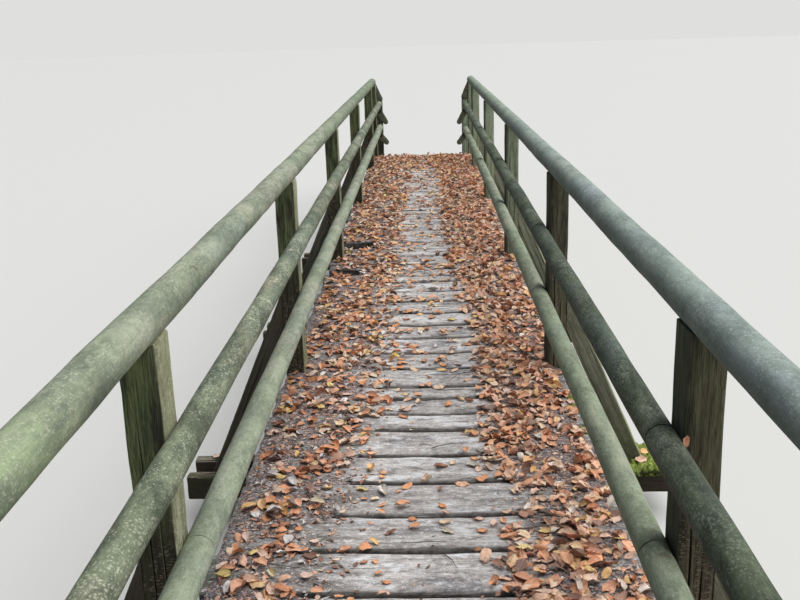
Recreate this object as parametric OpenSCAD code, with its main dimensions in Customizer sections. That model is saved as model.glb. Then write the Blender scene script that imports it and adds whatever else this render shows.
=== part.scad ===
// Timber footbridge for a woodland path. Two laminated bearers carry an open deck of cross
// boards. Six transoms, each a pair of planks, hang under the bearers and reach out on both
// sides; they clamp a pair of square posts and, near their ends, the feet of the struts that
// prop the posts. Round log rails lie in saddles on the post heads and along the inner faces
// of the posts, and fall with the bank beyond both ends of the deck.
// +Y runs along the bridge, +Z is up, and the origin is on the ground under its middle.

/* [Layout] */
// Distance between neighbouring post pairs
bay = 2360; // [1800:10:2800]
// Distance from the last braced posts to the end posts
end_bay = 1020; // [700:10:1500]
// Clear distance between the left and right posts
clear_width = 1190; // [900:10:1500]
// Distance from the end posts to the wing posts on the bank
wing_run = 1880; // [1200:10:2400]
// Fall of the wing rails over that distance
wing_fall = 300; // [0:10:500]

/* [Posts] */
// Width of a post across the bridge
post_w = 92; // [70:1:140]
// Depth of a post along the bridge
post_t = 120; // [95:1:160]
// Height of the post heads above the deck
post_h = 945; // [800:5:1200]
// Chamfer on the long edges of the posts
post_edge = 6; // [1:1:12]
// Depth of the saddle that holds the handrail
saddle = 18; // [8:1:28]

/* [Rails] */
// Diameter of the handrail logs
top_rail_d = 97; // [80:1:130]
// Diameter of the middle rail logs
mid_rail_d = 77; // [60:1:110]
// Diameter of the lower rail logs
low_rail_d = 80; // [60:1:110]
// Height of the left middle rail above the deck, at its axis
mid_rail_h_left = 695; // [560:5:780]
// Height of the right middle rail above the deck, at its axis
mid_rail_h_right = 665; // [560:5:780]
// Height of the left lower rail above the deck, at its axis
low_rail_h_left = 392; // [250:2:480]
// Height of the right lower rail above the deck, at its axis
low_rail_h_right = 360; // [250:2:480]
// Depth of the flat where a middle or lower log bears on a post
rail_flat = 3; // [1:1:15]
// Open joint between two logs that butt on a post
butt_gap = 4; // [2:1:12]
// Rounding of the free log ends
log_round = 20; // [5:1:26]
// Length of a rail past the wing post
overshoot = 90; // [40:5:200]
// Drop of a wing handrail below the end of the main handrail
wing_top_drop = 40; // [10:5:60]
// Clearance between a log and the log or post that it meets
log_gap = 0.3; // [0.1:0.1:2]

/* [Deck] */
// Length of a deck board across the bridge
board_l = 1360; // [1300:5:1900]
// Thickness of the deck boards
board_t = 55; // [38:1:80]
// Open joint between deck boards
board_gap = 17; // [8:1:30]
// Chamfer on the upper edges of the boards
board_edge = 5; // [1:1:10]
// Clearance between a notched board and a post
notch_gap = 6; // [3:1:15]
// Narrowest tongue of a notched board that is left standing
tongue_min = 45; // [20:5:80]

/* [Bearers] */
// Width of a bearer
bearer_w = 160; // [120:5:240]
// Depth of a bearer
bearer_h = 465; // [360:5:600]
// Distance between the two bearers, axis to axis
bearer_spacing = 760; // [500:10:900]

/* [Transoms and struts] */
// Length of a transom plank across the bridge
transom_l = 2430; // [2250:10:2800]
// Thickness of a transom plank along the bridge
transom_t = 70; // [45:1:90]
// Depth of a transom plank
transom_h = 130; // [100:5:200]
// Depth of a strut in its own slope
strut_d = 86; // [60:1:110]
// Height above the deck where a strut's outer edge meets the post
strut_head_h = 410; // [250:5:550]
// Distance from the bridge axis to a strut's outer edge at the top of the transom
strut_foot_x = 1092; // [950:2:1120]
// Length of a strut's foot below the transom
foot_drop = 25; // [0:5:60]

/* [Sills] */
// Length of a sill across the bridge
sill_l = 1900; // [1500:10:2400]
// Width of a sill along the bridge
sill_w = 220; // [180:5:300]
// Height of a sill
sill_h = 240; // [170:5:350]

/* [Hidden] */
$fn = 64;
bays = 5;
post_pairs = bays + 1;
cut = 1;

deck_z = sill_h + bearer_h + board_t;
bearer_top = sill_h + bearer_h;
transom_top = sill_h;
transom_z = transom_top - transom_h;
head_z = deck_z + post_h;

post_in = clear_width / 2;
post_x = post_in + post_w / 2;
post_out = post_in + post_w;

last_y = bay * bays / 2;
end_y = last_y + end_bay;
wing_y = end_y + wing_run;
deck_half = end_y + sill_w / 2 - 10;
wing_slope = atan(wing_fall / wing_run);

// Rail axes: across, then up
top_rail_z = head_z - saddle + top_rail_d / 2;
wing_face_y = end_y + post_t / 2;
wing_tail = post_t + 30;
function rail_x(d) = post_in - d / 2 + rail_flat;

// Sawn widths of the deck boards, repeated along the bridge
board_widths = [233, 148, 163, 133, 224, 224, 225, 223, 213, 233, 213];
board_cycle = len(board_widths);
board_lengths = [0, -14, 10, -6, 16, -22, 4];
// Boards whose left end has rotted off: number, then what is left of it from the bridge axis
rotted_boards = [[35, 450], [39, 400]];
function width_sum(n) = n <= 0 ? 0 : width_sum(n - 1) + board_widths[(n - 1) % board_cycle] + board_gap;
board_count = ceil(board_cycle * 2 * deck_half / width_sum(board_cycle));

function station(i) = -last_y + (i - 1) * bay;
all_posts_y = [-end_y, for (i = [1:post_pairs]) station(i), end_y];

// A shape for the right side, repeated on the left
module both_sides() {
    children();
    mirror([1, 0, 0]) children();
}

// A squared timber on end with chamfered edges, centred on its axis
module squared_post(height) {
    a = post_w / 2;
    b = post_t / 2;
    c = post_edge;
    linear_extrude(height)
        polygon([[-a + c, -b], [a - c, -b], [a, -b + c], [a, b - c],
                 [a - c, b], [-a + c, b], [-a, b - c], [-a, -b + c]]);
}

// A log along +Y from the origin, with either end rounded
module log_y(len, d, round_start = false, round_end = false) {
    r = d / 2;
    e = log_round;
    lo = round_start ? e : 0;
    hi = round_end ? len - e : len;
    rotate([-90, 0, 0]) rotate_extrude() {
        translate([0, lo]) square([r, hi - lo]);
        if (round_start) {
            square([r - e, e + cut]);
            translate([r - e, e]) intersection() {
                circle(e);
                translate([0, -e]) square([e, e + cut]);
            }
        }
        if (round_end) {
            translate([0, hi - cut]) square([r - e, e + cut]);
            translate([r - e, hi]) intersection() {
                circle(e);
                translate([0, -cut]) square([e, e + cut]);
            }
        }
    }
}

// Logs laid end to end along a straight rail, butting at the listed places
module rail_run(x, z, d, joints) {
    ends = concat([-wing_face_y], joints, [wing_face_y]);
    last = len(ends) - 2;
    for (i = [0:last]) {
        from = ends[i] + (i == 0 ? 0 : butt_gap / 2);
        to = ends[i + 1] - (i == last ? 0 : butt_gap / 2);
        translate([x, from, z]) log_y(to - from, d, i == 0, i == last);
    }
}

// Cuts the flats where a log on the inner side of the posts bears on them
module bearing_flats(side, d, places) {
    for (y = places)
        translate([side > 0 ? post_in : -post_in - d, y - post_t / 2 - cut, 0])
            cube([d, post_t + 2 * cut, head_z]);
}

// Handrail of one side, lying in the saddles
module top_rail(side) {
    color([0.62, 0.66, 0.52])
        rail_run(side * post_x, top_rail_z, top_rail_d,
                 side > 0 ? [station(2), station(5)] : [station(1), station(4), station(6)]);
}

// Middle or lower rail of one side, along the inner faces of the posts
module side_rail(side, height, d, joints, shade) {
    color(shade) difference() {
        rail_run(side * rail_x(d), deck_z + height, d, joints);
        bearing_flats(side, d, all_posts_y);
    }
}

// A wing log from its upper end at height z, sloping down past the wing post
module wing_log(x, z, d, from, round_start) {
    translate([x, from, z]) rotate([-wing_slope, 0, 0])
        log_y((wing_y + post_t / 2 + overshoot - from) / cos(wing_slope), d, round_start, true);
}

// Height of the axis of a wing handrail at y
function wing_top_z(y) = top_rail_z - wing_top_drop - (y - wing_face_y) * tan(wing_slope);

// The handrail of a wing, cut upright where it butts on the end post
module wing_top(x) {
    back = top_rail_d;
    difference() {
        wing_log(x, wing_top_z(wing_face_y - back), top_rail_d, wing_face_y - back, false);
        translate([x - top_rail_d, wing_face_y - 2 * back, deck_z])
            cube([2 * top_rail_d, 2 * back + log_gap, 2 * post_h]);
    }
}

// A middle or lower wing log, which starts under the end of the main rail at this height
module wing_side(side, height, d) {
    from = wing_face_y - wing_tail;
    drop = d / 2 + d / 2 / cos(wing_slope) + log_gap;
    difference() {
        wing_log(side * rail_x(d), deck_z + height - drop, d, from, true);
        bearing_flats(side, d, [end_y, wing_y]);
    }
}

// The three wing logs of one side beyond the far end of the deck
module wing_rails(side) {
    color([0.60, 0.64, 0.50]) wing_top(side * post_x);
    color([0.55, 0.60, 0.48]) {
        wing_side(side, side > 0 ? mid_rail_h_right : mid_rail_h_left, mid_rail_d);
        wing_side(side, side > 0 ? low_rail_h_right : low_rail_h_left, low_rail_d);
    }
}

// Cutter for a saddle in a post head
module saddle_cut(z, slope) {
    translate([post_x, 0, z])
        rotate([-slope, 0, 0])
            translate([0, -post_t, 0]) rotate([-90, 0, 0]) cylinder(d = top_rail_d, h = 2 * post_t);
}

// A pair of braced posts, clamped between the planks of their transom
module posts(i) {
    color([0.33, 0.33, 0.25]) translate([0, station(i), 0]) both_sides() difference() {
        translate([post_x, 0, transom_z]) squared_post(head_z - transom_z);
        saddle_cut(top_rail_z, 0);
    }
}

// The posts over a sill, standing on it
module end_posts(dir) {
    color([0.33, 0.33, 0.25]) translate([0, dir * end_y, 0]) both_sides() difference() {
        translate([post_x, 0, sill_h]) squared_post(head_z - sill_h);
        saddle_cut(top_rail_z, 0);
    }
}

// The outermost posts, which stand in the bank
module wing_posts(dir) {
    axis_z = wing_top_z(wing_y);
    color([0.33, 0.33, 0.25]) translate([0, dir * wing_y, 0]) both_sides() difference() {
        translate([post_x, 0, 0]) squared_post(axis_z - top_rail_d / 2 + saddle);
        saddle_cut(axis_z, dir * wing_slope);
    }
}

// Slope of the struts, and the width of their cuts on the level and upright
strut_rise = deck_z + strut_head_h - transom_top;
strut_lean = atan((strut_foot_x - post_out) / strut_rise);
strut_across = strut_d / cos(strut_lean);
strut_along = strut_d / sin(strut_lean);
function strut_edge_x(z) = strut_foot_x - (z - transom_top) * tan(strut_lean);

// The pair of struts at one transom, each from a level foot to a bevelled head on the post
module struts(i) {
    low = transom_z - foot_drop;
    color([0.30, 0.27, 0.22]) translate([0, station(i) + post_t / 2, 0])
        both_sides() rotate([90, 0, 0]) linear_extrude(post_t)
            polygon([[strut_edge_x(low), low], [post_out, deck_z + strut_head_h],
                     [post_out, deck_z + strut_head_h - strut_along],
                     [strut_edge_x(low) - strut_across, low]]);
}

// The two planks of a transom, one on either face of the posts and struts
module transom(i) {
    color([0.38, 0.35, 0.29])
        for (y = [-post_t / 2 - transom_t, post_t / 2])
            translate([-transom_l / 2, station(i) + y, transom_z])
                cube([transom_l, transom_t, transom_h]);
}

// A laminated bearer over the full length of the deck
module bearer(side) {
    color([0.52, 0.45, 0.35])
        translate([side * bearer_spacing / 2 - bearer_w / 2, -deck_half, sill_h])
            cube([bearer_w, 2 * deck_half, bearer_h]);
}

// The sill under one end of the bearers
module sill(dir) {
    color([0.36, 0.31, 0.25])
        translate([-sill_l / 2, dir * end_y - sill_w / 2, 0]) cube([sill_l, sill_w, sill_h]);
}

// Notch in a board from y0 to y1 round a post at p; a thin tongue is cut away with it
module post_notch(y0, y1, p) {
    a = p - post_t / 2 - notch_gap;
    b = p + post_t / 2 + notch_gap;
    if (b > y0 && a < y1) {
        lo = a - y0 < tongue_min ? y0 - cut : a;
        hi = y1 - b < tongue_min ? y1 + cut : b;
        both_sides() translate([post_in - notch_gap, lo, bearer_top - cut])
            cube([board_l, hi - lo, board_t + 2 * cut]);
    }
}

// Board n of the deck, counted from the near end
module board(n) {
    y0 = -deck_half + width_sum(n);
    w = board_widths[n % board_cycle];
    half = (board_l + board_lengths[n % len(board_lengths)]) / 2;
    rotted = [for (b = rotted_boards) if (b[0] == n) b[1]];
    left = len(rotted) > 0 ? rotted[0] : half;
    difference() {
        translate([-left, y0, bearer_top]) rotate([90, 0, 90]) linear_extrude(left + half)
            polygon([[0, 0], [w, 0], [w, board_t - board_edge], [w - board_edge, board_t],
                     [board_edge, board_t], [0, board_t - board_edge]]);
        for (p = all_posts_y) post_notch(y0, y0 + w, p);
    }
}

// The boards whose middle lies between two places along the bridge
module deck(from, to) {
    color([0.55, 0.53, 0.50])
        for (n = [0:board_count - 1]) {
            middle = -deck_half + width_sum(n) + board_widths[n % board_cycle] / 2;
            if (middle >= from && middle < to && middle < deck_half) board(n);
        }
}

for (i = [1:post_pairs]) {
    posts(i);
    transom(i);
    struts(i);
}
for (i = [1:bays]) deck(station(i), station(i + 1));
deck(-deck_half, -last_y);  // deck_end_near
deck(last_y, deck_half);  // deck_end_far
bearer(-1);  // bearer_left
bearer(1);  // bearer_right
sill(-1);  // sill_near
sill(1);  // sill_far
end_posts(-1);  // end_posts_near
end_posts(1);  // end_posts_far
wing_posts(-1);  // wing_posts_near
wing_posts(1);  // wing_posts_far
top_rail(-1);  // top_rail_left
top_rail(1);  // top_rail_right
side_rail(-1, mid_rail_h_left, mid_rail_d, [station(1), station(4)], [0.45, 0.50, 0.38]);  // mid_rail_left
side_rail(1, mid_rail_h_right, mid_rail_d, [for (i = [1:post_pairs]) station(i)], [0.48, 0.52, 0.42]);  // mid_rail_right
side_rail(-1, low_rail_h_left, low_rail_d, [station(2), station(5)], [0.56, 0.60, 0.46]);  // low_rail_left
side_rail(1, low_rail_h_right, low_rail_d, [for (i = [1:post_pairs]) station(i)], [0.58, 0.61, 0.50]);  // low_rail_right
mirror([0, 1, 0]) wing_rails(-1);  // wing_rails_near_left
mirror([0, 1, 0]) wing_rails(1);  // wing_rails_near_right
wing_rails(-1);  // wing_rails_far_left
wing_rails(1);  // wing_rails_far_right
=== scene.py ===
from functools import cached_property
import math

import bpy
import numpy as np
from mathutils import Matrix, Vector


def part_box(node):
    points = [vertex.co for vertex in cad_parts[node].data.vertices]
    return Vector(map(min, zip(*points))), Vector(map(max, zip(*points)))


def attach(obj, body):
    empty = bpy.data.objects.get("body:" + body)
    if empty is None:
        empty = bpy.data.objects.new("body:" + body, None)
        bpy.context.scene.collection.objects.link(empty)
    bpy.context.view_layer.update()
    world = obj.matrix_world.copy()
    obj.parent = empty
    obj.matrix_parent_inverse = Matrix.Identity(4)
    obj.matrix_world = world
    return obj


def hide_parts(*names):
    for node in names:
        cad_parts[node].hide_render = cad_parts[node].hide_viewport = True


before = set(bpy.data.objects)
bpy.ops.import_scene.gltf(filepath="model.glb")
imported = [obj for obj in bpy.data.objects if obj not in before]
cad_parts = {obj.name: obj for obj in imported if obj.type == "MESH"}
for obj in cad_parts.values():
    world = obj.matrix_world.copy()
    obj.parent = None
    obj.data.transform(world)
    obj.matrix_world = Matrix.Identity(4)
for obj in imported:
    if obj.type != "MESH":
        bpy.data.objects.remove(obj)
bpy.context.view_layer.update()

# The view is from 1.6 m above the boards near the near end. It looks along the deck and down at
# it, turned and tipped a little to the left, with a moderately long lens.
view_width, view_height, focal_length = 800, 600, 939.74       # in pixels
deck_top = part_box("deck_bay_3")[1].z
eye = Vector((0.0192, -5.5852, deck_top + 1.6049))
look_down, look_left, tip = (math.radians(a) for a in (15.957, 1.761, -1.792))
ahead = Vector((-math.sin(look_left) * math.cos(look_down),
                math.cos(look_left) * math.cos(look_down), -math.sin(look_down)))
level_right = Vector((math.cos(look_left), math.sin(look_left), 0))
level_up = level_right.cross(ahead)
view_right = level_right * math.cos(tip) + level_up * math.sin(tip)
view_up = level_up * math.cos(tip) - level_right * math.sin(tip)


def put(name, data):
    """A new object of this data in the scene."""
    thing = bpy.data.objects.new(name, data)
    bpy.context.scene.collection.objects.link(thing)
    return thing


camera = put("view_camera", bpy.data.cameras.new("view_camera"))
camera.data.lens = camera.data.sensor_width * focal_length / view_width
camera.matrix_world = (Matrix.Translation(eye)
                       @ Matrix((view_right, view_up, -ahead)).transposed().to_4x4())
bpy.context.scene.camera = camera
bpy.context.scene.view_settings.view_transform = "Standard"


# The studio has one very broad soft light high on the right, a pale room, lighter on that side,
# that fills the shadows, and a plain pale floor.
class Wire:
    """What runs from one shader node to the next. Arithmetic on it adds the nodes for it."""

    def __init__(self, tree, socket):
        self.tree, self.socket = tree, socket

    def __add__(self, other):
        return calc("ADD", self, other)

    def __sub__(self, other):
        return calc("SUBTRACT", self, other)

    def __rsub__(self, other):
        return calc("SUBTRACT", other, self)

    def __mul__(self, other):
        return calc("MULTIPLY", self, other)

    def __truediv__(self, other):
        return calc("DIVIDE", self, other)

    def __abs__(self):
        return calc("ABSOLUTE", self)


def plug(socket, value):
    """Links a wire to the socket, or sets it to a number, a vector or a colour."""
    if isinstance(value, Wire):
        value.tree.links.new(value.socket, socket)
    else:
        opaque = socket.type == "RGBA" and len(value) == 3
        socket.default_value = (*value, 1) if opaque else value


def add(tree, kind, sockets=None, **settings):
    """The wires out of a new shader node, by name and number."""
    node = tree.nodes.new(kind)
    for name, value in settings.items():
        setattr(node, name, value)
    for name, value in (sockets or {}).items():
        plug(node.inputs[name], value)
    return {key: Wire(tree, output) for key, output in
            [*enumerate(node.outputs), *node.outputs.items()]}


def calc(operation, *values):
    """One step of arithmetic on these wires and numbers."""
    tree = next(value.tree for value in values if isinstance(value, Wire))
    return add(tree, "ShaderNodeMath", dict(enumerate(values)), operation=operation)[0]


def mix(share, first, second, blend="MIX"):
    """The first colour with this share of the second one laid over it."""
    return add(share.tree, "ShaderNodeMix", {0: share, 6: first, 7: second}, data_type="RGBA",
               blend_type=blend)[2]


soft_light = put("soft_light", bpy.data.lights.new("soft_light", "SUN"))
soft_light.data.energy = 3.3
soft_light.data.angle = math.radians(75)
soft_light.data.color = (1.0, 0.99, 0.96)
light_from = Vector((0.42, 0.20, 1.0))
soft_light.rotation_euler = light_from.to_track_quat("Z", "Y").to_euler()

room = bpy.data.worlds.new("pale_room")
room.use_nodes = True
room_tree = room.node_tree
shaded_wall, lit_wall, backdrop_colour = (0.50, 0.55, 0.60), (1.35, 1.40, 1.42), (0.74, 0.74, 0.73)
sideways = add(room_tree, "ShaderNodeSeparateXYZ",
               {0: add(room_tree, "ShaderNodeTexCoord")["Generated"]})["X"]
to_the_right = add(room_tree, "ShaderNodeMapRange",
                   {"Value": sideways, "From Min": -0.3, "From Max": 0.9})[0]
fill = add(room_tree, "ShaderNodeBackground",
           {"Color": mix(to_the_right, shaded_wall, lit_wall), "Strength": 0.36})
backdrop = add(room_tree, "ShaderNodeBackground", {"Color": backdrop_colour, "Strength": 1.0})
seen = add(room_tree, "ShaderNodeLightPath")["Is Camera Ray"]
either = add(room_tree, "ShaderNodeMixShader", {0: seen, 1: fill[0], 2: backdrop[0]})
plug(room_tree.nodes["World Output"].inputs["Surface"], either[0])
bpy.context.scene.world = room

floor_radius, floor_drop = 150.0, 0.001
floor_seen_colour, floor_dimmed_colour = (0.62, 0.62, 0.61), (0.34, 0.34, 0.33)
floor_rim = [(floor_radius * math.cos(a), floor_radius * math.sin(a), -floor_drop)
             for a in np.linspace(0, 2 * math.pi, 64, endpoint=False)]
floor_mesh = bpy.data.meshes.new("floor")
floor_mesh.from_pydata(floor_rim, [], [range(64)])
floor_paint = bpy.data.materials.new("pale_floor")
floor_paint.use_nodes = True
floor_tree = floor_paint.node_tree
floor_shader = floor_tree.nodes["Principled BSDF"].inputs
plug(floor_shader["Base Color"], mix(add(floor_tree, "ShaderNodeLightPath")["Is Camera Ray"],
                                     floor_dimmed_colour, floor_seen_colour))
floor_shader["Roughness"].default_value = 0.9
floor_mesh.materials.append(floor_paint)
put("floor", floor_mesh)


# Sills: a rough squared timber lies across each end of the bridge and carries the two bearers.
# Dark, damp hardwood, sawn on four sides, its ends cut square and checked by drying.
def wobble(places, size, seed):
    """Smooth random values of about -1 to 1 that change over this distance."""
    waves = 9
    draw = np.random.default_rng(seed)
    runs = draw.normal(size=(waves, places.shape[-1]))
    lengths = size * draw.uniform(0.6, 1.8, (waves, 1))
    runs *= 2 * np.pi / lengths / np.linalg.norm(runs, axis=1, keepdims=True)
    phase = draw.uniform(0, 2 * np.pi, waves)
    return np.sin(places @ runs.T + phase).sum(-1) / math.sqrt(2 * waves)


def smooth(value, low, high):
    """0 below low, 1 above high, and a soft step between them."""
    t = np.clip((value - low) / (high - low), 0, 1)
    return t * t * (3 - 2 * t)


def squared_outline(width, depth, edge, steps, checks):
    """Columns round a squared timber, width along v and depth along w, anticlockwise from +v.
    Each check is (side, share of the side), with sides +w, -v, -w, +v, and gets three columns."""
    slit = 0.0025
    a, b = width / 2 - edge, depth / 2 - edge
    corners = [(a, b), (-a, b), (-a, -b), (a, -b)]
    columns = []
    for side, corner in enumerate(corners):
        for turn in (0, 30, 60, 90):
            angle = math.radians(90 * side + turn)
            n = (math.cos(angle), math.sin(angle))
            worn = math.sin(math.radians(2 * turn)) * 0.6 + 0.4
            columns.append((corner[0] + edge * n[0], corner[1] + edge * n[1], *n, worn, -1, 0))
        after = corners[(side + 1) % 4]
        n = [(0, 1), (-1, 0), (0, -1), (1, 0)][side]
        run = math.dist(corner, after)
        count = max(1, round(run / steps[side]))
        own = [(k, share) for k, (s, share) in enumerate(checks) if s == side]
        places = [(i / count, -1, 0) for i in range(1, count)
                  if all(abs(i / count - share) * run > 2 * slit for k, share in own)]
        places += [(share + part * slit / run, k, 1 - abs(part)) for k, share in own
                   for part in (-1, 0, 1)]
        for share, k, deep in sorted(places):
            columns.append((corner[0] + (after[0] - corner[0]) * share + n[0] * edge,
                            corner[1] + (after[1] - corner[1]) * share + n[1] * edge,
                            *n, 0, k, deep))
    return np.array(columns).T


def squared_timber(length, outline, seed, checks, rough, worn, ring=0.045, round_ends=0.003,
                   more_rings=(), depth=0.006):
    """Rings of a weathered timber along u, with its marks. A check is (from, to) along u, and
    rough, worn and depth are how far the saw, the weather and the checks go into the wood."""
    v, w, nv, nw, edge, check, deep = outline
    count = max(2, round(length / ring))
    places = sorted(set(np.linspace(round_ends, length - round_ends, count)) | set(more_rings))
    bevel = 0.29        # how far in the middle ring of a rounded end lies, as a share of it
    u = np.array([0, round_ends * bevel] + places + [length - round_ends * bevel, length])
    inset = np.zeros(len(u))
    inset[:2] = inset[:-3:-1] = round_ends * np.array([1, bevel])
    shape = len(u), len(v)
    line = np.stack([np.broadcast_to(u[:, None] / 5, shape), np.broadcast_to(v, shape),
                     np.broadcast_to(w, shape)], -1)
    out = rough * wobble(line, 0.04, seed) + 0.6 * rough * wobble(line, 0.015, seed + 1)
    out -= worn * edge * (0.8 + wobble(line, 0.035, seed + 2))
    slide, split = np.zeros(shape), np.zeros(shape)
    for k, (low, high) in enumerate(checks):
        middle, half = (low + high) / 2, (high - low) / 2
        gate = np.sqrt(np.clip(1 - ((u - middle) / half) ** 2, 0, 1))[:, None]
        mine = check == k
        slide += np.where(mine, 0.003 * wobble(u[:, None], 0.35, seed + 7 * k)[:, None], 0)
        split += np.where(mine, gate * (0.35 + 0.65 * deep), 0)
        out -= np.where(mine, depth * gate * deep, 0)
    out -= inset[:, None]
    rings = np.stack([np.broadcast_to(u[:, None], shape), v + nv * out - nw * slide,
                      w + nw * out + nv * slide], -1)
    end = np.broadcast_to((inset > 0.9 * round_ends)[:, None], shape).astype(float)
    return rings, {"worn": np.broadcast_to(edge, shape) * 1.0, "check": split, "end": end}


def skin(rings, marks, origin, u, w, seed, pith=(0.0, 0.3), tone=0.5, grain_at=None):
    """A closed skin over rings of local points, put at origin with its length along u and its
    depth along w. It keeps where each point lay in the wood, for the grain."""
    count, around = rings.shape[:2]
    i, j = np.meshgrid(np.arange(count - 1) * around, np.arange(around), indexing="ij")
    k = (j + 1) % around
    quads = np.stack([i + j, i + k, i + around + k, i + around + j], -1).reshape(-1, 4)
    first, last = count * around, count * around + 1
    ring = np.arange(around)
    turn = np.roll(ring, -1)
    start = np.stack([np.full(around, first), turn, ring], -1)
    stop = np.stack([np.full(around, last), ring + first - around, turn + first - around], -1)
    local = np.concatenate([rings.reshape(-1, 3), [rings[0].mean(0), rings[-1].mean(0)]])
    axes = np.array([u, np.cross(w, u), w], float)
    draw = np.random.default_rng(seed)
    made = {key: np.concatenate([value.reshape(-1), [value[0].mean(), value[-1].mean()]])
            for key, value in marks.items()}
    made["grain"] = local + (draw.uniform(-5, 5, 3) if grain_at is None else grain_at)
    bend = 0.012 * wobble(local * (1, 3, 3), 0.5, seed + 3)
    made["ring"] = np.hypot(local[:, 1] - pith[0], local[:, 2] - pith[1]) + bend
    made["tone"] = np.full(len(local), float(tone))
    return {"points": np.array(origin, float) + local @ axes, "quads": quads,
            "triangles": np.concatenate([start, stop]), "marks": made}


def join(name, parts, material, nodes=(), sharp=38):
    """One object of all these parts, which rides on the bridge and stands for CAD nodes."""
    starts = np.cumsum([0] + [len(p["points"]) for p in parts])
    points = np.concatenate([p["points"] for p in parts])
    quads, triangles = (
        np.concatenate([p[kind] + s for p, s in zip(parts, starts)]).astype(np.int32)
        for kind in ("quads", "triangles"))
    corners = np.concatenate([quads.ravel(), triangles.ravel()])
    sizes = np.concatenate([np.full(len(quads), 4), np.full(len(triangles), 3)])
    mesh = bpy.data.meshes.new(name)
    mesh.vertices.add(len(points))
    mesh.vertices.foreach_set("co", points.astype(np.float32).ravel())
    mesh.loops.add(len(corners))
    mesh.loops.foreach_set("vertex_index", corners)
    mesh.polygons.add(len(sizes))
    mesh.polygons.foreach_set("loop_start", (np.cumsum(sizes) - sizes).astype(np.int32))
    mesh.update(calc_edges=True)
    for key in parts[0]["marks"]:
        values = np.concatenate([p["marks"][key] for p in parts]).astype(np.float32)
        vector = values.ndim == 2
        mark = mesh.attributes.new(key, "FLOAT_VECTOR" if vector else "FLOAT", "POINT")
        mark.data.foreach_set("vector" if vector else "value", values.ravel())
    mesh.shade_smooth()
    mesh.set_sharp_from_angle(angle=math.radians(sharp))
    mesh.materials.append(material)
    piece = put(name, mesh)
    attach(piece, "root")
    if nodes:
        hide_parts(*nodes)


def beam(box, u, w, edge, spacing, checks, runs, seed, skin_seed, pith=(0.0, 0.3), **wear):
    """A squared timber that fills a box, its length along u and its depth along w."""
    low, high = np.array([tuple(corner) for corner in box])
    length, width, depth = (abs((high - low) @ axis) for axis in (u, np.cross(w, u), w))
    outline = squared_outline(width, depth, edge, (spacing,) * 4, checks)
    rings, marks = squared_timber(length, outline, seed, checks=runs, **wear)
    start = np.where(np.array(u) > 0, low, (low + high) / 2)
    return skin(rings, marks, start, u, w, skin_seed, pith)


def shader_group(name, inputs, outputs):
    """A node group with these sockets, the wires of its inputs, and its output sockets."""
    tree = bpy.data.node_groups.new(name, "ShaderNodeTree")
    kinds = {"colour": "NodeSocketColor", "value": "NodeSocketFloat", "vector": "NodeSocketVector"}
    for direction, sockets in (("INPUT", inputs), ("OUTPUT", outputs)):
        for socket_name, kind in sockets.items():
            tree.interface.new_socket(socket_name, in_out=direction, socket_type=kinds[kind])
    return tree, add(tree, "NodeGroupInput"), tree.nodes.new("NodeGroupOutput").inputs


def noise(place, size, detail, roughness, stretch=(1, 1, 1), distortion=0.0):
    """Noise with features of this size in metres, drawn out by stretch along each axis."""
    scaled = add(place.tree, "ShaderNodeVectorMath",
                 {0: place, 1: tuple(1 / (size * s) for s in stretch)}, operation="MULTIPLY")[0]
    return add(place.tree, "ShaderNodeTexNoise",
               {"Vector": scaled, "Scale": 1.0, "Detail": detail, "Roughness": roughness,
                "Distortion": distortion})["Fac"]


def step(value, low, high, start=0.0, stop=1.0):
    """A soft step: start where the value is low, stop where it is high."""
    return add(value.tree, "ShaderNodeMapRange",
               {"Value": value, "From Min": low, "From Max": high, "To Min": start,
                "To Max": stop}, interpolation_type="SMOOTHSTEP")[0]


# Weathered wood, shared by every timber: fibres and streaks along the grain, growth rings, fine
# drying lines, and dark checks and end grain.
wood, given, made = shader_group(
    "weathered_wood",
    {"Grain": "vector", "Ring": "value", "Ring Width": "value", "Check": "value", "End": "value",
     "Pale": "colour", "Dark": "colour", "Lines": "value"},
    {"Color": "colour", "Height": "value", "Streak": "value"})
fibre = noise(given["Grain"], 0.0042, 3, 0.6, (30, 1, 1))
streak = noise(given["Grain"], 0.024, 3, 0.6, (22, 1, 1))
band = noise(given["Grain"], 0.07, 2, 0.5, (9, 1, 1))
line = noise(given["Grain"], 0.011, 2, 0.5, (26, 1, 1))
thin = step(abs(line - 0.5), 0.0, 0.02, 1.0, 0.0) * step(band, 0.42, 0.62) * given["Lines"]
ring_turn = given["Ring"] / given["Ring Width"] + streak * 1.3
late = calc("POWER", calc("PINGPONG", ring_turn, 0.5), 2.0) * 4.0
shade = (step(streak, 0.3, 0.7) * 0.5 + step(fibre, 0.25, 0.75) * 0.3
         + step(band, 0.3, 0.7) * 0.2 - late * 0.16)
tinted = mix(shade, given["Dark"], given["Pale"])
gap = calc("MAXIMUM", thin, step(given["Check"], 0.3, 0.9))
tinted = mix(gap * 0.85, tinted, (0.012, 0.010, 0.008))
plug(made["Color"], mix(step(given["End"], 0.2, 0.8) * 0.45, tinted, (0.05, 0.042, 0.034)))
plug(made["Height"], fibre * 0.7 + streak * 0.5 - late * 0.25 - thin)
plug(made["Streak"], streak)


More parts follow.
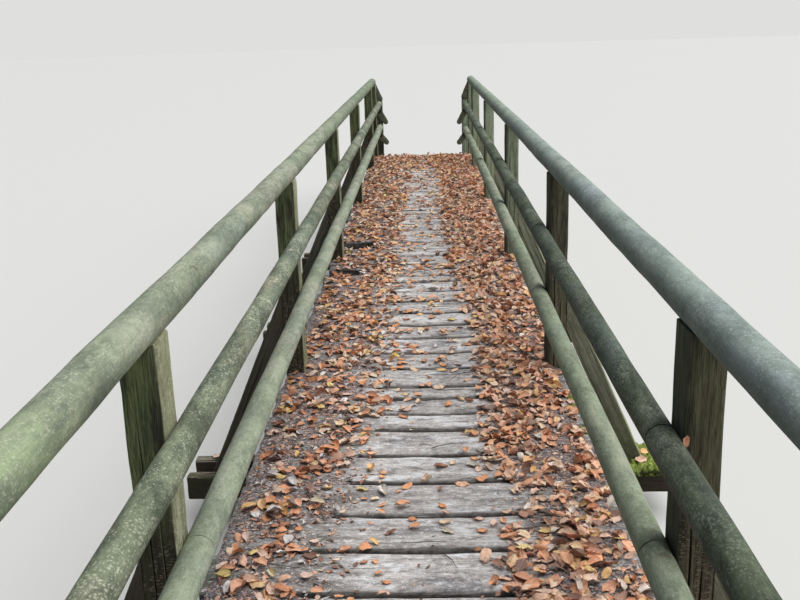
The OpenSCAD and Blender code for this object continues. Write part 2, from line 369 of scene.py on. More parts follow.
class Coats:
    """A matt material in the making: a first colour, and coats of dirt and growth over it."""

    def __init__(self, name, roughness, gloss=0.5):
        self.material = bpy.data.materials.new(name)
        self.material.use_nodes = True
        self.tree = self.material.node_tree
        self.shader = self.tree.nodes["Principled BSDF"].inputs
        self.shader["Roughness"].default_value = roughness
        self.shader["Specular IOR Level"].default_value = gloss

    @cached_property
    def place(self):
        return add(self.tree, "ShaderNodeTexCoord")["Object"]

    @cached_property
    def at(self):
        return add(self.tree, "ShaderNodeSeparateXYZ", {0: self.place})

    @cached_property
    def facing(self):
        normal = add(self.tree, "ShaderNodeNewGeometry")["Normal"]
        return add(self.tree, "ShaderNodeSeparateXYZ", {0: normal})

    @cached_property
    def grain(self):
        return self.mark("grain", "Vector")

    def mark(self, name, output="Fac"):
        return add(self.tree, "ShaderNodeAttribute", attribute_name=name)[output]

    def group(self, group, sockets):
        return add(self.tree, "ShaderNodeGroup", sockets, node_tree=group)

    def coat(self, share, colour, blend="MIX"):
        self.colour = mix(share, self.colour, colour, blend)

    def finish(self, height, relief, strength=1.0):
        """The material, with the last colour and a relief of this height in metres."""
        plug(self.shader["Base Color"], self.colour)
        plug(self.shader["Normal"], add(self.tree, "ShaderNodeBump", {
            "Height": height, "Distance": relief, "Strength": strength})[0])
        return self.material


class TimberCoats(Coats):
    """Coats over bare weathered wood."""

    def __init__(self, name, pale, dark, ring_width=0.006, lines=1.0, roughness=0.85):
        super().__init__(name, roughness, gloss=0.25)
        self.bare = self.group(wood, {
            "Grain": self.grain, "Ring": self.mark("ring"), "Ring Width": ring_width,
            "Check": self.mark("check"), "End": self.mark("end"), "Pale": pale, "Dark": dark,
            "Lines": lines})
        self.colour = self.bare["Color"]


along_x, along_y, along_z = (1, 0, 0), (0, 1, 0), (0, 0, 1)

sill = TimberCoats("dark_sill_wood", (0.20, 0.165, 0.12), (0.075, 0.06, 0.045), ring_width=0.008)
sill.coat(step(noise(sill.place, 0.35, 4, 0.6), 0.4, 0.65, 0, 0.55), (0.035, 0.035, 0.022))
sill_wood = sill.finish(sill.bare["Height"], 0.0012)
for number, end_name in enumerate(("near", "far")):
    timber = beam(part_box("sill_" + end_name), along_x, along_z, 0.009, 0.02,
                  [(0, 0.35), (0, 0.7), (1, 0.45), (3, 0.55)],
                  [(0.0, 0.9), (0.7, 1.8), (0.2, 1.3), (0.9, 1.9)], 11 + number, 21 + number,
                  rough=0.0014, worn=0.002, depth=0.009)
    join("sill_timber_" + end_name, [timber], sill_wood, ["sill_" + end_name])


# Bearers: two deep beams of glued boards lie on the sills over the full length and carry the
# deck. The laminations show on the sides as flat bands of slightly different brown, with dark
# lines of glue between them.
lamination = 0.045
bearer = TimberCoats("laminated_bearer_wood", (0.34, 0.29, 0.22), (0.17, 0.135, 0.095),
                     ring_width=0.010, lines=0.7)
layer = bearer.at["Z"] / lamination
glue = step(abs(calc("FRACT", layer) - 0.5), 0.47, 0.495)
layer_tone = add(bearer.tree, "ShaderNodeTexWhiteNoise", {"W": calc("FLOOR", layer)},
                 noise_dimensions="1D")["Value"]
drip = noise(bearer.place, 0.05, 4, 0.65, (1, 1, 7))
bearer.coat(layer_tone * 0.35, (0.15, 0.13, 0.10))
bearer.coat(step(drip, 0.52, 0.75, 0, 0.6), (0.05, 0.052, 0.036))
bearer.coat(glue * 0.6, (0.03, 0.022, 0.016))
bearer_wood = bearer.finish(bearer.bare["Height"] - glue, 0.0010)
for number, side_name in enumerate(("left", "right")):
    timber = beam(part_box("bearer_" + side_name), along_y, along_x, 0.004, 0.03,
                  [(1, 0.3), (1, 0.62), (3, 0.42), (3, 0.75)],
                  [(0.0, 3.2), (5.5, 9.0), (3.0, 6.4), (9.5, 14.04)], 31 + number, 41 + number,
                  ring=0.2, rough=0.0006, worn=0.001, depth=0.007)
    join("bearer_beam_" + side_name, [timber], bearer_wood,
         ["bearer_" + side_name])


# Transoms: pairs of planks under the bearers, which clamp the posts and the feet of the struts.
# Dark, damp softwood, pale only on the upper faces, where rain reaches them. The darker sides are
# partly damp wood and partly painted shade.
def solids(node):
    """The points of each closed solid of a CAD node."""
    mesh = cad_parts[node].data
    points = np.empty(len(mesh.vertices) * 3)
    mesh.vertices.foreach_get("co", points)
    points = points.reshape(-1, 3)
    edges = np.empty(len(mesh.edges) * 2, int)
    mesh.edges.foreach_get("vertices", edges)
    same = np.unique(np.round(points, 5), axis=0, return_inverse=True)[1].ravel()
    first, second = same[edges.reshape(-1, 2)].T
    group = np.arange(same.max() + 1)
    changed = True
    while changed:
        before = group.copy()
        low = np.minimum(group[first], group[second])
        np.minimum.at(group, first, low)
        np.minimum.at(group, second, low)
        group = group[group]
        changed = (group != before).any()
    return [points[group[same] == g] for g in np.unique(group[same])]


def box_of(points):
    """The lowest and the highest corner round these points."""
    return points.min(0), points.max(0)


def by_place(node):
    """The solids of a CAD node in order along the bridge."""
    return sorted(solids(node), key=lambda points: points[:, 1].min())


pairs = range(1, 7)
transom = TimberCoats("transom_plank_wood", (0.40, 0.36, 0.29), (0.10, 0.085, 0.06))
ragged = noise(transom.place, 0.03, 4, 0.65, (3, 1, 1))
rain_and_light_reach = transom.facing["Z"] + (ragged - 0.5) * 0.8
# Faces turned away from the top get a dark brown: partly damp wood, partly painted shade.
transom.coat(step(rain_and_light_reach, 0.45, 0.95, 0.86, 0.0), (0.050, 0.035, 0.025))
transom.coat(step(noise(transom.place, 0.09, 4, 0.6), 0.46, 0.60, 0, 0.7), (0.045, 0.050, 0.024))
transom_wood = transom.finish(transom.bare["Height"] + ragged, 0.0022)
for pair in pairs:
    planks = []
    for number, points in enumerate(solids(f"transom_{pair}")):
        seed = 100 + 10 * pair + number
        planks.append(beam(box_of(points), along_x, along_z, 0.010, 0.014,
                           [(0, 0.4), (1, 0.3), (3, 0.6)], [(0.0, 0.8), (0.1, 1.0), (1.5, 2.43)],
                           seed, seed, (0.02, -0.12), ring=0.05, rough=0.0020, worn=0.0050,
                           round_ends=0.005))
    join(f"transom_planks_{pair}", planks, transom_wood, [f"transom_{pair}"])


# The living film on shaded wood, shared by posts, struts and logs: clouds of green algae, a fine
# mottle and pale lichen flecks, some of them round.
film, given, made = shader_group(
    "algae_film",
    {"Place": "vector", "Algae": "colour", "Deep": "colour", "Lichen": "colour",
     "Flecks": "value", "Cover": "value"},
    {"Color": "colour", "Mask": "value", "Height": "value"})
cloud = noise(given["Place"], 0.075, 3, 0.6, (2.4, 1, 1))
mottle = noise(given["Place"], 0.016, 4, 0.68, (1.8, 1, 1))
speck = noise(given["Place"], 0.0042, 2, 0.65, (1.8, 1, 1))
fleck = noise(given["Place"], 0.012, 5, 0.72, (1.3, 1, 1), 0.15)
cluster = noise(given["Place"], 0.10, 2, 0.5, (1.6, 1, 1))
shade = (step(cloud, 0.36, 0.64) * 0.50 + step(mottle, 0.36, 0.64) * 0.32
         + step(speck, 0.32, 0.68) * 0.18)
green = mix(shade, given["Deep"], given["Algae"])
green = mix(step(speck, 0.56, 0.74, 0.0, 0.28), green, given["Lichen"])
fleck = fleck + (cluster - 0.54) * 0.55
disc = add(film, "ShaderNodeTexVoronoi", {"Vector": given["Place"], "Scale": 120.0})
wider = add(film, "ShaderNodeSeparateColor", {0: disc["Color"]})[0]
reach = wider * 0.20 + mottle * 0.50 + (cluster - 0.5) * 0.9
round_fleck = step(disc["Distance"] - reach, -0.16, 0.0, 0.75, 0.0)
flecks = calc("MAXIMUM", step(fleck, 0.575, 0.65), round_fleck) * given["Flecks"]
plug(made["Color"], mix(flecks, green, given["Lichen"]))
bare_below = 0.95 - given["Cover"]
plug(made["Mask"], step(cloud * 0.5 + mottle * 0.5, bare_below - 0.28, bare_below))
plug(made["Height"], speck * 0.4 + flecks * 0.5)


# Posts: squared timbers with eased edges and long drying checks, most of them bolted between the
# transom planks, with saddles in their heads for the handrail. Moss green, brown and black on the
# faces across the bridge. On the right posts the faces along the bridge are black green, partly
# damp wood and partly painted shade for the side away from the light; on the left posts they stay
# pale bare wood under the film.
handrail_radius, saddle_depth, saddle_fades = 0.0485, 0.018, 0.08
post = TimberCoats("post_wood", (0.52, 0.48, 0.32), (0.22, 0.195, 0.115), ring_width=0.007)
patches = noise(post.place, 0.07, 3, 0.6, (1, 1, 4))
fibres = noise(post.grain, 0.0048, 4, 0.62, (16, 1, 1), 1.2)
streaks = fibres * 0.6 + noise(post.grain, 0.022, 3, 0.6, (10, 1, 1)) * 0.4
mossy = post.group(film, {"Place": post.grain, "Algae": (0.42, 0.45, 0.28),
                          "Deep": (0.13, 0.14, 0.08), "Lichen": (0.60, 0.61, 0.46),
                          "Flecks": 0.7, "Cover": 0.62})
post.coat(mossy["Mask"] * 0.8, mossy["Color"])
streaked = step(streaks, 0.34, 0.66)
brown = mix(streaked, (0.030, 0.023, 0.016), (0.185, 0.155, 0.11))
moss_green = mix(streaked, (0.034, 0.045, 0.021), (0.24, 0.285, 0.135))
pale_green = mix(streaked, (0.14, 0.17, 0.105), (0.50, 0.56, 0.40))
black = mix(step(streaks, 0.38, 0.68), (0.012, 0.012, 0.009), (0.13, 0.12, 0.09))
along_bridge_damp_and_shade = mix(step(streaks, 0.38, 0.66), (0.010, 0.013, 0.010), (0.062, 0.072, 0.052))
left_side = mix(step(patches, 0.50, 0.66), moss_green, black)
right_side = mix(step(patches, 0.38, 0.56, 0.35, 0.0), brown, moss_green)
right_side = mix(step(patches, 0.55, 0.70), right_side, black)
pale_green = mix(step(post.at["Y"], 1.6, 3.6, 0.0, 0.5), pale_green, (0.62, 0.70, 0.50))
right_side = mix(step(post.at["Y"], -1.7, 1.2), right_side, pale_green)
on_right = step(post.mark("tone"), 0.4, 0.6)
weather_and_shade = mix(on_right, left_side, right_side)
in_from_edge = abs(post.at["X"]) + patches * 0.03
weather_and_shade = mix(step(in_from_edge, 0.616, 0.634, 0.75, 0.0), weather_and_shade, black)
low_down = step(post.at["Z"], 1.18, 1.36, 1.0, 0.0)
low_on_left = low_down * step(post.mark("tone"), 0.4, 0.6, 0.85, 0.0)
weather_and_shade = mix(low_on_left, weather_and_shade, (0.030, 0.024, 0.018))
flakes = step(noise(post.grain, 0.0085, 3, 0.6, (0.55, 1.8, 1.8)), 0.53, 0.60, 0.0, 0.9)
flakes = flakes * low_down * step(patches, 0.42, 0.52)
weather_and_shade = mix(flakes, weather_and_shade, (0.25, 0.215, 0.165))
across_face = step(abs(post.facing["Y"]), 0.45, 0.8)
weather_and_shade = mix(across_face, along_bridge_damp_and_shade, weather_and_shade)
# The right posts also take the black green on their faces along the bridge: partly damp wood,
# partly painted shade.
post.coat(calc("MAXIMUM", across_face * 0.96, on_right * 0.92), weather_and_shade)
post.coat(step(post.mark("check"), 0.2, 0.8) * 0.9, (0.006, 0.005, 0.004))
post_wood = post.finish(post.bare["Height"] + fibres * 1.2, 0.0018)


def post_pair(node, name, seed):
    """Both posts of a node, each with a saddle for the log that lies on its head."""
    parts = []
    for number, points in enumerate(solids(node)):
        low, high = box_of(points)
        own = seed + 17 * number
        draw = np.random.default_rng(own)
        length = high[2] - low[2]
        checks = [(0, 0.46), (2, 0.3), (2, 0.68), (1, 0.5), (3, 0.52)]
        runs = []
        for _ in checks:
            start = draw.uniform(0.0, 0.45) * length
            runs.append((start, start + draw.uniform(0.4, 0.9) * (length - start)))
        outline = squared_outline(high[0] - low[0], high[1] - low[1], 0.007, (0.013,) * 4, checks)
        rings, marks = squared_timber(length, outline, own, ring=0.055, checks=runs, rough=0.0011,
                                      worn=0.0016, depth=0.008)
        v = rings[..., 1]
        arc = handrail_radius - np.sqrt(np.clip(handrail_radius ** 2 - v ** 2, 0, None))
        drop = np.where(np.abs(v) < handrail_radius, np.clip(saddle_depth - arc, 0, None), 0)
        rings[..., 0] -= smooth(rings[..., 0], length - saddle_fades, length) * drop
        foot = ((low[0] + high[0]) / 2, (low[1] + high[1]) / 2, low[2])
        parts.append(skin(rings, marks, foot, along_z, along_y, own,
                          pith=(draw.uniform(-0.03, 0.03), draw.uniform(-0.04, 0.04)),
                          tone=high[0] > 0))
    join(name, parts, post_wood, [node])


for pair in pairs:
    post_pair(f"posts_{pair}", f"post_pair_{pair}", 200 + 10 * pair)
for number, end_name in enumerate(("near", "far")):
    post_pair(f"end_posts_{end_name}", f"end_post_pair_{end_name}", 300 + 40 * number)
    post_pair(f"wing_posts_{end_name}", f"wing_post_pair_{end_name}", 400 + 40 * number)


# Struts: one squared timber a post, from between the transom planks up to a bevelled head on the
# outer face of the post. Dark brown, green and soft near the foot, where it stays wet.
strut = TimberCoats("strut_wood", (0.32, 0.275, 0.205), (0.06, 0.048, 0.034), lines=0.7)
mossy = strut.group(film, {"Place": strut.grain, "Algae": (0.23, 0.25, 0.13),
                           "Deep": (0.06, 0.065, 0.035), "Lichen": (0.40, 0.41, 0.30),
                           "Flecks": 0.35, "Cover": 0.45})
streaks = noise(strut.grain, 0.0048, 4, 0.62, (16, 1, 1), 1.2) * 0.5 + strut.bare["Streak"] * 0.5
silvery = mix(step(streaks, 0.36, 0.62), (0.055, 0.062, 0.042), (0.50, 0.54, 0.42))
strut.coat(step(strut.at["Y"], -2.8, 0.8, 0.4, 0.95) * step(strut.at["Z"], 0.35, 0.9, 0.35, 1.0),
           silvery)
strut.coat(mossy["Mask"] * step(strut.at["Z"], 0.28, 0.62, 0.95, 0.25), mossy["Color"])
strut.coat(step(strut.mark("tone"), 0.4, 0.6, 0.74, 0.0), (0.042, 0.032, 0.024))
strut.coat(step(strut.mark("worn"), 0.35, 0.8, 0.0, 0.8) * step(strut.mark("tone"), 0.4, 0.6),
           (0.55, 0.58, 0.34))
strut_wood = strut.finish(strut.bare["Height"], 0.0014)
for pair in pairs:
    parts = []
    for number, points in enumerate(solids(f"struts_{pair}")):
        low, high = box_of(points)
        seed = 500 + 10 * pair + number
        side = 1 if high[0] > 0 else -1
        outward_x, up_z = points[:, 0] * side, points[:, 2]
        foot_x = outward_x[up_z < low[2] + 0.001]
        rise, lean = high[2] - low[2], foot_x.max() - outward_x.min()
        length, slope = math.hypot(rise, lean), lean / rise
        depth = (foot_x.max() - foot_x.min()) * math.cos(math.atan(slope))
        outline = squared_outline(depth, high[1] - low[1], 0.007, (0.014,) * 4,
                                  [(0, 0.4), (1, 0.55)])
        rings, marks = squared_timber(length, outline, seed, checks=[(0.1, 0.9), (0.3, 1.0)],
                                      rough=0.0011, worn=0.002, round_ends=0.002)
        u, v = rings[..., 0], rings[..., 1]
        reach = v - depth / 2
        past_middle = u / (length / 2) - 1
        level_foot, upright_head = past_middle * slope * reach, past_middle * reach / slope
        rings[..., 0] = u + np.where(past_middle < 0, level_foot, upright_head)
        axis = np.array([-side * lean / length, 0, rise / length])
        outward = np.array([side * rise / length, 0, lean / length])
        foot = np.array([side * foot_x.max(), (low[1] + high[1]) / 2, low[2]]) - outward * depth / 2
        parts.append(skin(rings, marks, foot, axis, np.cross(axis, outward), seed,
                          pith=(0.02, 0.03), tone=side > 0))
    join(f"strut_pair_{pair}", parts, strut_wood, [f"struts_{pair}"])


# Bolts: a hexagon bolt with a round washer and a nut clamps the planks at every post and at the
# foot of every strut. Mild steel, rusted in darker and lighter brown scales.
rust = Coats("rusted_bolt_steel", roughness=0.8)
rust.shader["Metallic"].default_value = 0.25
scale = noise(rust.place, 0.006, 4, 0.65)
rust.colour = mix(step(scale, 0.35, 0.62), (0.033, 0.021, 0.016), (0.14, 0.070, 0.040))
rusted_steel = rust.finish(scale, 0.0008)


def turned(profile, around, origin, axis, depth_axis, turn=0.0):
    """A solid with this profile of (length, radius) about its axis: round, or a hexagon."""
    u, radius = np.array(profile).T
    angle = turn + np.linspace(0, 2 * np.pi, around, endpoint=False)
    rings = np.stack([np.repeat(u[:, None], around, 1), radius[:, None] * np.cos(angle),
                      radius[:, None] * np.sin(angle)], -1)
    return skin(rings, {"worn": np.zeros(rings.shape[:2])}, origin, axis, depth_axis, 1)


washer = [(-0.003, 0.0205), (0.0026, 0.0205), (0.0034, 0.0196)]
head = [(0.001, 0.0138), (0.0110, 0.0138), (0.0125, 0.0122)]
thread = [(0.012, 0.0078), (0.0200, 0.0078), (0.0215, 0.0064)]
post_axis_x, strut_foot_x, bolt_z = 0.641, 1.030, 0.178
bolts = []
for pair in pairs:
    low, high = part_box(f"transom_{pair}")
    for x in (-strut_foot_x, -post_axis_x, post_axis_x, strut_foot_x):
        for y, way in ((low.y, -1), (high.y, 1)):
            at = (x, y, bolt_z), (0, way, 0), along_x
            bolts += [turned(washer, 20, *at), turned(head, 6, *at, 0.7 * x + pair)]
            if way > 0:
                bolts.append(turned(thread, 14, *at))
join("transom_bolts", bolts, rusted_steel, sharp=30)


# Moss: a thick bright mat has grown over the end of one transom on the right, round the foot of
# the strut, and small tufts sit on the right edge of the deck.
moss = Coats("moss_mat", roughness=0.95, gloss=0.15)
tips = noise(moss.place, 0.0035, 3, 0.7)
tuft = noise(moss.place, 0.014, 3, 0.6)
moss.colour = mix(step(tuft, 0.36, 0.62), (0.055, 0.085, 0.018), (0.27, 0.36, 0.075))
moss.coat(step(tips, 0.48, 0.68, 0.0, 0.85), (0.60, 0.66, 0.20))
moss.coat(step(tips, 0.28, 0.42, 0.75, 0.0), (0.015, 0.028, 0.008))
# Where the mat turns away from the top it is darker olive: painted shade.
moss.coat(step(moss.facing["Z"] + tuft * 0.8, 0.35, 0.95, 0.85, 0.0), (0.050, 0.050, 0.028))
moss_green_mat = moss.finish(tips + tuft * 0.8, 0.004)


def moss_mat(origin, length, over, inside, thick, axis, depth_axis, seed, fine=0.006):
    """A bumpy mat over a line of (v, w) points, run along an axis; inside closes it in the wood."""
    over = np.array(over, float)
    run = np.concatenate([[0], np.cumsum(np.hypot(*np.diff(over, axis=0).T))])
    t = np.arange(0, run[-1], fine)
    v, w = np.interp(t, run, over[:, 0]), np.interp(t, run, over[:, 1])
    nv, nw = np.gradient(w), -np.gradient(v)
    size = np.hypot(nv, nw)
    u = np.arange(0, length, fine)
    spot = np.stack([np.repeat(u[:, None], len(t), 1), np.repeat(t[None], len(u), 0)], -1)
    rim = np.minimum(smooth(spot[..., 0], 0, 0.035) * smooth(length - spot[..., 0], 0, 0.035),
                     smooth(spot[..., 1], 0, 0.012) * smooth(run[-1] - spot[..., 1], 0, 0.020))
    rim = np.clip(rim * (1.15 + 0.5 * wobble(spot, 0.05, seed)), 0, 1.2)
    bumps = 0.42 * wobble(spot, 0.032, seed + 1) + 0.30 * wobble(spot, 0.014, seed + 2)
    out = thick * rim * (1 + bumps) - 0.003 * (1 - np.clip(rim, 0, 1))
    close = np.repeat(np.array(inside, float)[None], len(u), 0)
    rings = np.concatenate([np.stack([v + nv / size * out, w + nw / size * out], -1), close], 1)
    rings = np.concatenate([np.repeat(u[:, None], rings.shape[1], 1)[..., None], rings], -1)
    return skin(rings, {"worn": np.zeros(rings.shape[:2])}, origin, axis, depth_axis, seed)


mossy_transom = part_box("transom_3")
plank_top = mossy_transom[1].z
station = (mossy_transom[0].y + mossy_transom[1].y) / 2
over_planks = [(0.132, -0.034), (0.133, -0.004), (0.120, 0.002), (0.0, 0.003), (-0.120, 0.002),
               (-0.133, -0.004), (-0.135, -0.046)]
under_mat = [(-0.124, -0.038), (-0.118, -0.010), (0.118, -0.010), (0.124, -0.028)]
mats = [moss_mat((0.985, station, plank_top), 0.225, over_planks, under_mat, 0.017, along_x,
                 along_z, 61)]
over_edge = [(0.001, -0.040), (0.001, -0.006), (-0.004, 0.003), (-0.030, 0.003)]
under_tuft = [(-0.028, -0.006), (-0.008, -0.030)]
board_end_x = 0.672
for number, (y, length) in enumerate(((-2.03, 0.09), (-1.83, 0.13), (-1.68, 0.10), (-0.62, 0.07))):
    mats.append(moss_mat((board_end_x, y, deck_top), length, over_edge, under_tuft, 0.007,
                         along_y, along_x, 63 + number, fine=0.004))
join("moss_mats", mats, moss_green_mat, sharp=80)


# Deck boards: sawn planks nailed across the bearers with open joints, notched round the posts.
# Silver grey and dished along the walking line, dark and soft under the litter at the sides.
walk_x, walk_half = 0.03, 0.26
board = TimberCoats("deck_board_wood", (0.95, 0.92, 0.92), (0.42, 0.38, 0.37), ring_width=0.010)
ragged = noise(board.place, 0.11, 4, 0.65, (1.6, 0.8, 1))
blotch = noise(board.place, 0.045, 5, 0.7, (2.2, 1, 1))
bleach = noise(board.place, 0.06, 4, 0.6, (2.5, 1, 1))
damp = noise(board.place, 0.13, 3, 0.55, (2.0, 1, 1))
mottle = noise(board.place, 0.015, 5, 0.72, (1.6, 1, 1))
grit = noise(board.place, 0.005, 3, 0.7)
hair = noise(board.grain, 0.0026, 3, 0.65, (18, 1, 1))
side_dirt = step(abs(board.at["X"] - walk_x) + (ragged - 0.5) * 0.5, 0.20, 0.42)
green_here = step(board.at["X"], -0.62, -0.42, 0.5, 0.0) * step(ragged, 0.4, 0.6)
dirty = mix(step(mottle, 0.34, 0.62), (0.085, 0.074, 0.070), (0.20, 0.185, 0.178))
in_joint = step(abs(board.facing["Y"]), 0.15, 0.45)
side_face = mix(in_joint, (0.040, 0.032, 0.026), dirty)
board.coat(step(blotch, 0.34, 0.54, 0.70, 0.0), (0.15, 0.13, 0.125))
board.coat(step(bleach, 0.50, 0.62, 0.0, 0.75), (0.91, 0.91, 0.95))
board.coat(step(damp, 0.53, 0.64, 0.0, 0.65), (0.16, 0.155, 0.175))
board.coat(side_dirt * 0.70, (0.085, 0.07, 0.062))
board.coat(green_here, (0.07, 0.08, 0.035))
board.coat(board.mark("tone") * 0.22, (0.20, 0.16, 0.13))
board.coat(step(mottle, 0.52, 0.64, 0.0, 0.55), (0.92, 0.92, 0.96))
board.coat(step(mottle, 0.34, 0.47, 0.55, 0.0), (0.17, 0.15, 0.15))
board.coat(step(hair, 0.36, 0.52, 0.38, 0.0), (0.10, 0.088, 0.085))
board.coat(step(grit, 0.57, 0.69, 0.0, 0.6), (0.97, 0.96, 0.97))
board.coat(step(grit, 0.30, 0.42, 0.55, 0.0), (0.07, 0.06, 0.055))
# Rounded edges and dips that turn away from the sky are darker: painted shade.
board.coat(step(board.facing["Z"], 0.88, 0.99, 0.40, 0.0), (0.12, 0.105, 0.10))
board.coat(step(board.facing["Z"], 0.72, 0.94, 0.92, 0.0), side_face)
board_wood = board.finish(board.bare["Height"] + hair + grit * 0.5, 0.0018)

notch_plane = 0.5895
bearer_x = (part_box("bearer_right")[0].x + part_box("bearer_right")[1].x) / 2
nail_head = [(-0.010, 0.0044), (0.0004, 0.0046), (0.0010, 0.0036)]


def tread(x):
    """How much a place across the deck is walked on, 1 on the walking line."""
    return np.exp(-((x - walk_x) / walk_half) ** 2)


def worn_board(points, seed, draw):
    """A board that fills a CAD solid: dished where it is trodden, cupped, rotted at a short left
    end, and narrow outside the notches of the posts."""
    low, high = box_of(points)
    length, width, thick = high - low
    middle = (low + high) / 2
    checks = sorted((0, s) for s in draw.uniform(0.15, 0.85, draw.integers(0, 3)))
    runs = []
    for _ in checks:
        start = draw.choice([-0.1, 0.95, draw.uniform(0.2, 0.9)])
        runs.append((start, start + draw.uniform(0.2, 0.5)))
    outline = squared_outline(width, thick, 0.009, (0.015, 0.025, 0.09, 0.025), checks)
    at_notches = [at + d for at in (side * notch_plane - low[0] for side in (-1, 1))
                  if 0.01 < at < length - 0.01 for d in (-0.0012, 0.0012)]
    rings, marks = squared_timber(length, outline, seed, checks=runs, rough=0.0014, worn=0.003,
                                  ring=0.05, round_ends=0.004, more_rings=at_notches, depth=0.007)
    u, v, w = rings[..., 0], rings[..., 1], rings[..., 2]
    x = u + low[0]
    upper = smooth(w, 0.0, thick / 2)
    trodden = tread(x)
    cup = draw.uniform(-0.0015, 0.002)
    dip = 0.0035 * trodden * (0.8 + 0.5 * wobble(np.stack([x, v * 3], -1), 0.25, seed + 5))
    w += upper * (cup * (2 * v / width) ** 2 - dip)
    w -= upper * smooth(np.abs(v), width / 2 - 0.026, width / 2) * trodden * 0.0065
    w += upper * 0.0016 * wobble(np.stack([x, v * 2.5], -1), 0.12, seed + 6)
    w += draw.uniform(-0.002, 0.001) + v * draw.uniform(-0.008, 0.008)
    v += 0.002 * wobble(x[..., None], 0.3, seed + 8) * np.sign(v)
    left_end_rotted = low[0] > -0.6
    if left_end_rotted:
        near_end = smooth(-u, -0.12, 0.0)
        u += near_end * (0.03 * wobble(v[..., None], 0.06, seed + 9) + 0.02)
        crumbled = 0.7 + wobble(np.stack([x, v], -1), 0.05, seed + 10)
        w -= upper * near_end * 0.018 * crumbled
    for side in (-1, 1):
        tongue = points[points[:, 0] * side > notch_plane + 0.002, 1]
        if len(tongue) and np.ptp(tongue) < width - 0.002:
            tongue_middle = (tongue.min() + tongue.max()) / 2 - middle[1]
            squeezed = v * (np.ptp(tongue) / width) + tongue_middle
            v[...] = np.where(x * side > notch_plane, squeezed, v)
    return skin(rings, marks, (low[0], *middle[1:]), along_x, along_z, seed,
                pith=(draw.uniform(-0.12, 0.12), draw.uniform(-0.28, -0.06)),
                tone=draw.uniform(0, 1))


def nail_heads(board_skin, low, high, draw):
    """Two nails over each bearer, with their heads on the worn top of this board."""
    middle, (_, width, thick) = (low + high) / 2, high - low
    skin_points = board_skin["points"]
    top_points = skin_points[skin_points[:, 2] > middle[2] + thick / 4]
    heads = []
    for side in (-1, 1):
        for share in (-0.28, 0.28):
            x = side * bearer_x + draw.uniform(-0.015, 0.015)
            y = middle[1] + share * width + draw.uniform(-0.008, 0.008)
            if x > low[0] + 0.02:
                near = np.hypot(top_points[:, 0] - x, top_points[:, 1] - y).argmin()
                heads.append(turned(nail_head, 8, (x, y, top_points[near, 2]), along_z, along_y))
    return heads


nails, boards = [], []
for node in ["deck_end_near", *(f"deck_bay_{i}" for i in range(1, 6)), "deck_end_far"]:
    parts = []
    for points in by_place(node):
        seed = 1000 + 7 * len(boards)
        draw = np.random.default_rng(seed)
        parts.append(worn_board(points, seed, draw))
        boards.append(box_of(points))
        nails += nail_heads(parts[-1], *boards[-1], draw)
    join("boards_" + node[5:], parts, board_wood, [node], sharp=50)
join("board_nails", nails, rusted_steel, sharp=40)


# Rails: round logs with the bark off, lying in the post heads or nailed to the inner faces of the
# posts, where each has a flat. Covered in green algae, with white lichen flecks and dark joints.
post_inner, post_half = 0.595, 0.060


def off_turn(angle, turn):
    """How far an angle is from a turn, from minus half a circle to half a circle."""
    return (angle - turn + np.pi) % (2 * np.pi) - np.pi


def log_rings(length, places, bend, stop_bend):
    """The rings at these places and those of the two rounded ends: along the log, and inwards."""
    turns = np.radians((90, 60, 35, 15))
    u = np.array([*bend * (1 - np.sin(turns)), *places,
                  *length - stop_bend * (1 - np.sin(turns[::-1]))])
    inset = np.array([*bend * (1 - np.cos(turns)), *np.zeros(len(places)),
                      *stop_bend * (1 - np.cos(turns[::-1]))])
    return u, inset


def log_columns(radius, check_turn):
    """The turns of the columns round a log, three of them in its drying check, and how deep."""
    angle = np.linspace(0, 2 * np.pi, 28, endpoint=False)
    slit = 0.0022 / radius
    keep = np.abs(off_turn(angle, check_turn)) > 2 * slit
    angle = np.concatenate([angle[keep], check_turn + slit * np.array([-1, 0, 1])])
    deep = np.concatenate([np.zeros(keep.sum()), [0.3, 1, 0.3]])
    order = np.argsort(angle % (2 * np.pi))
    return angle[order], deep[order]


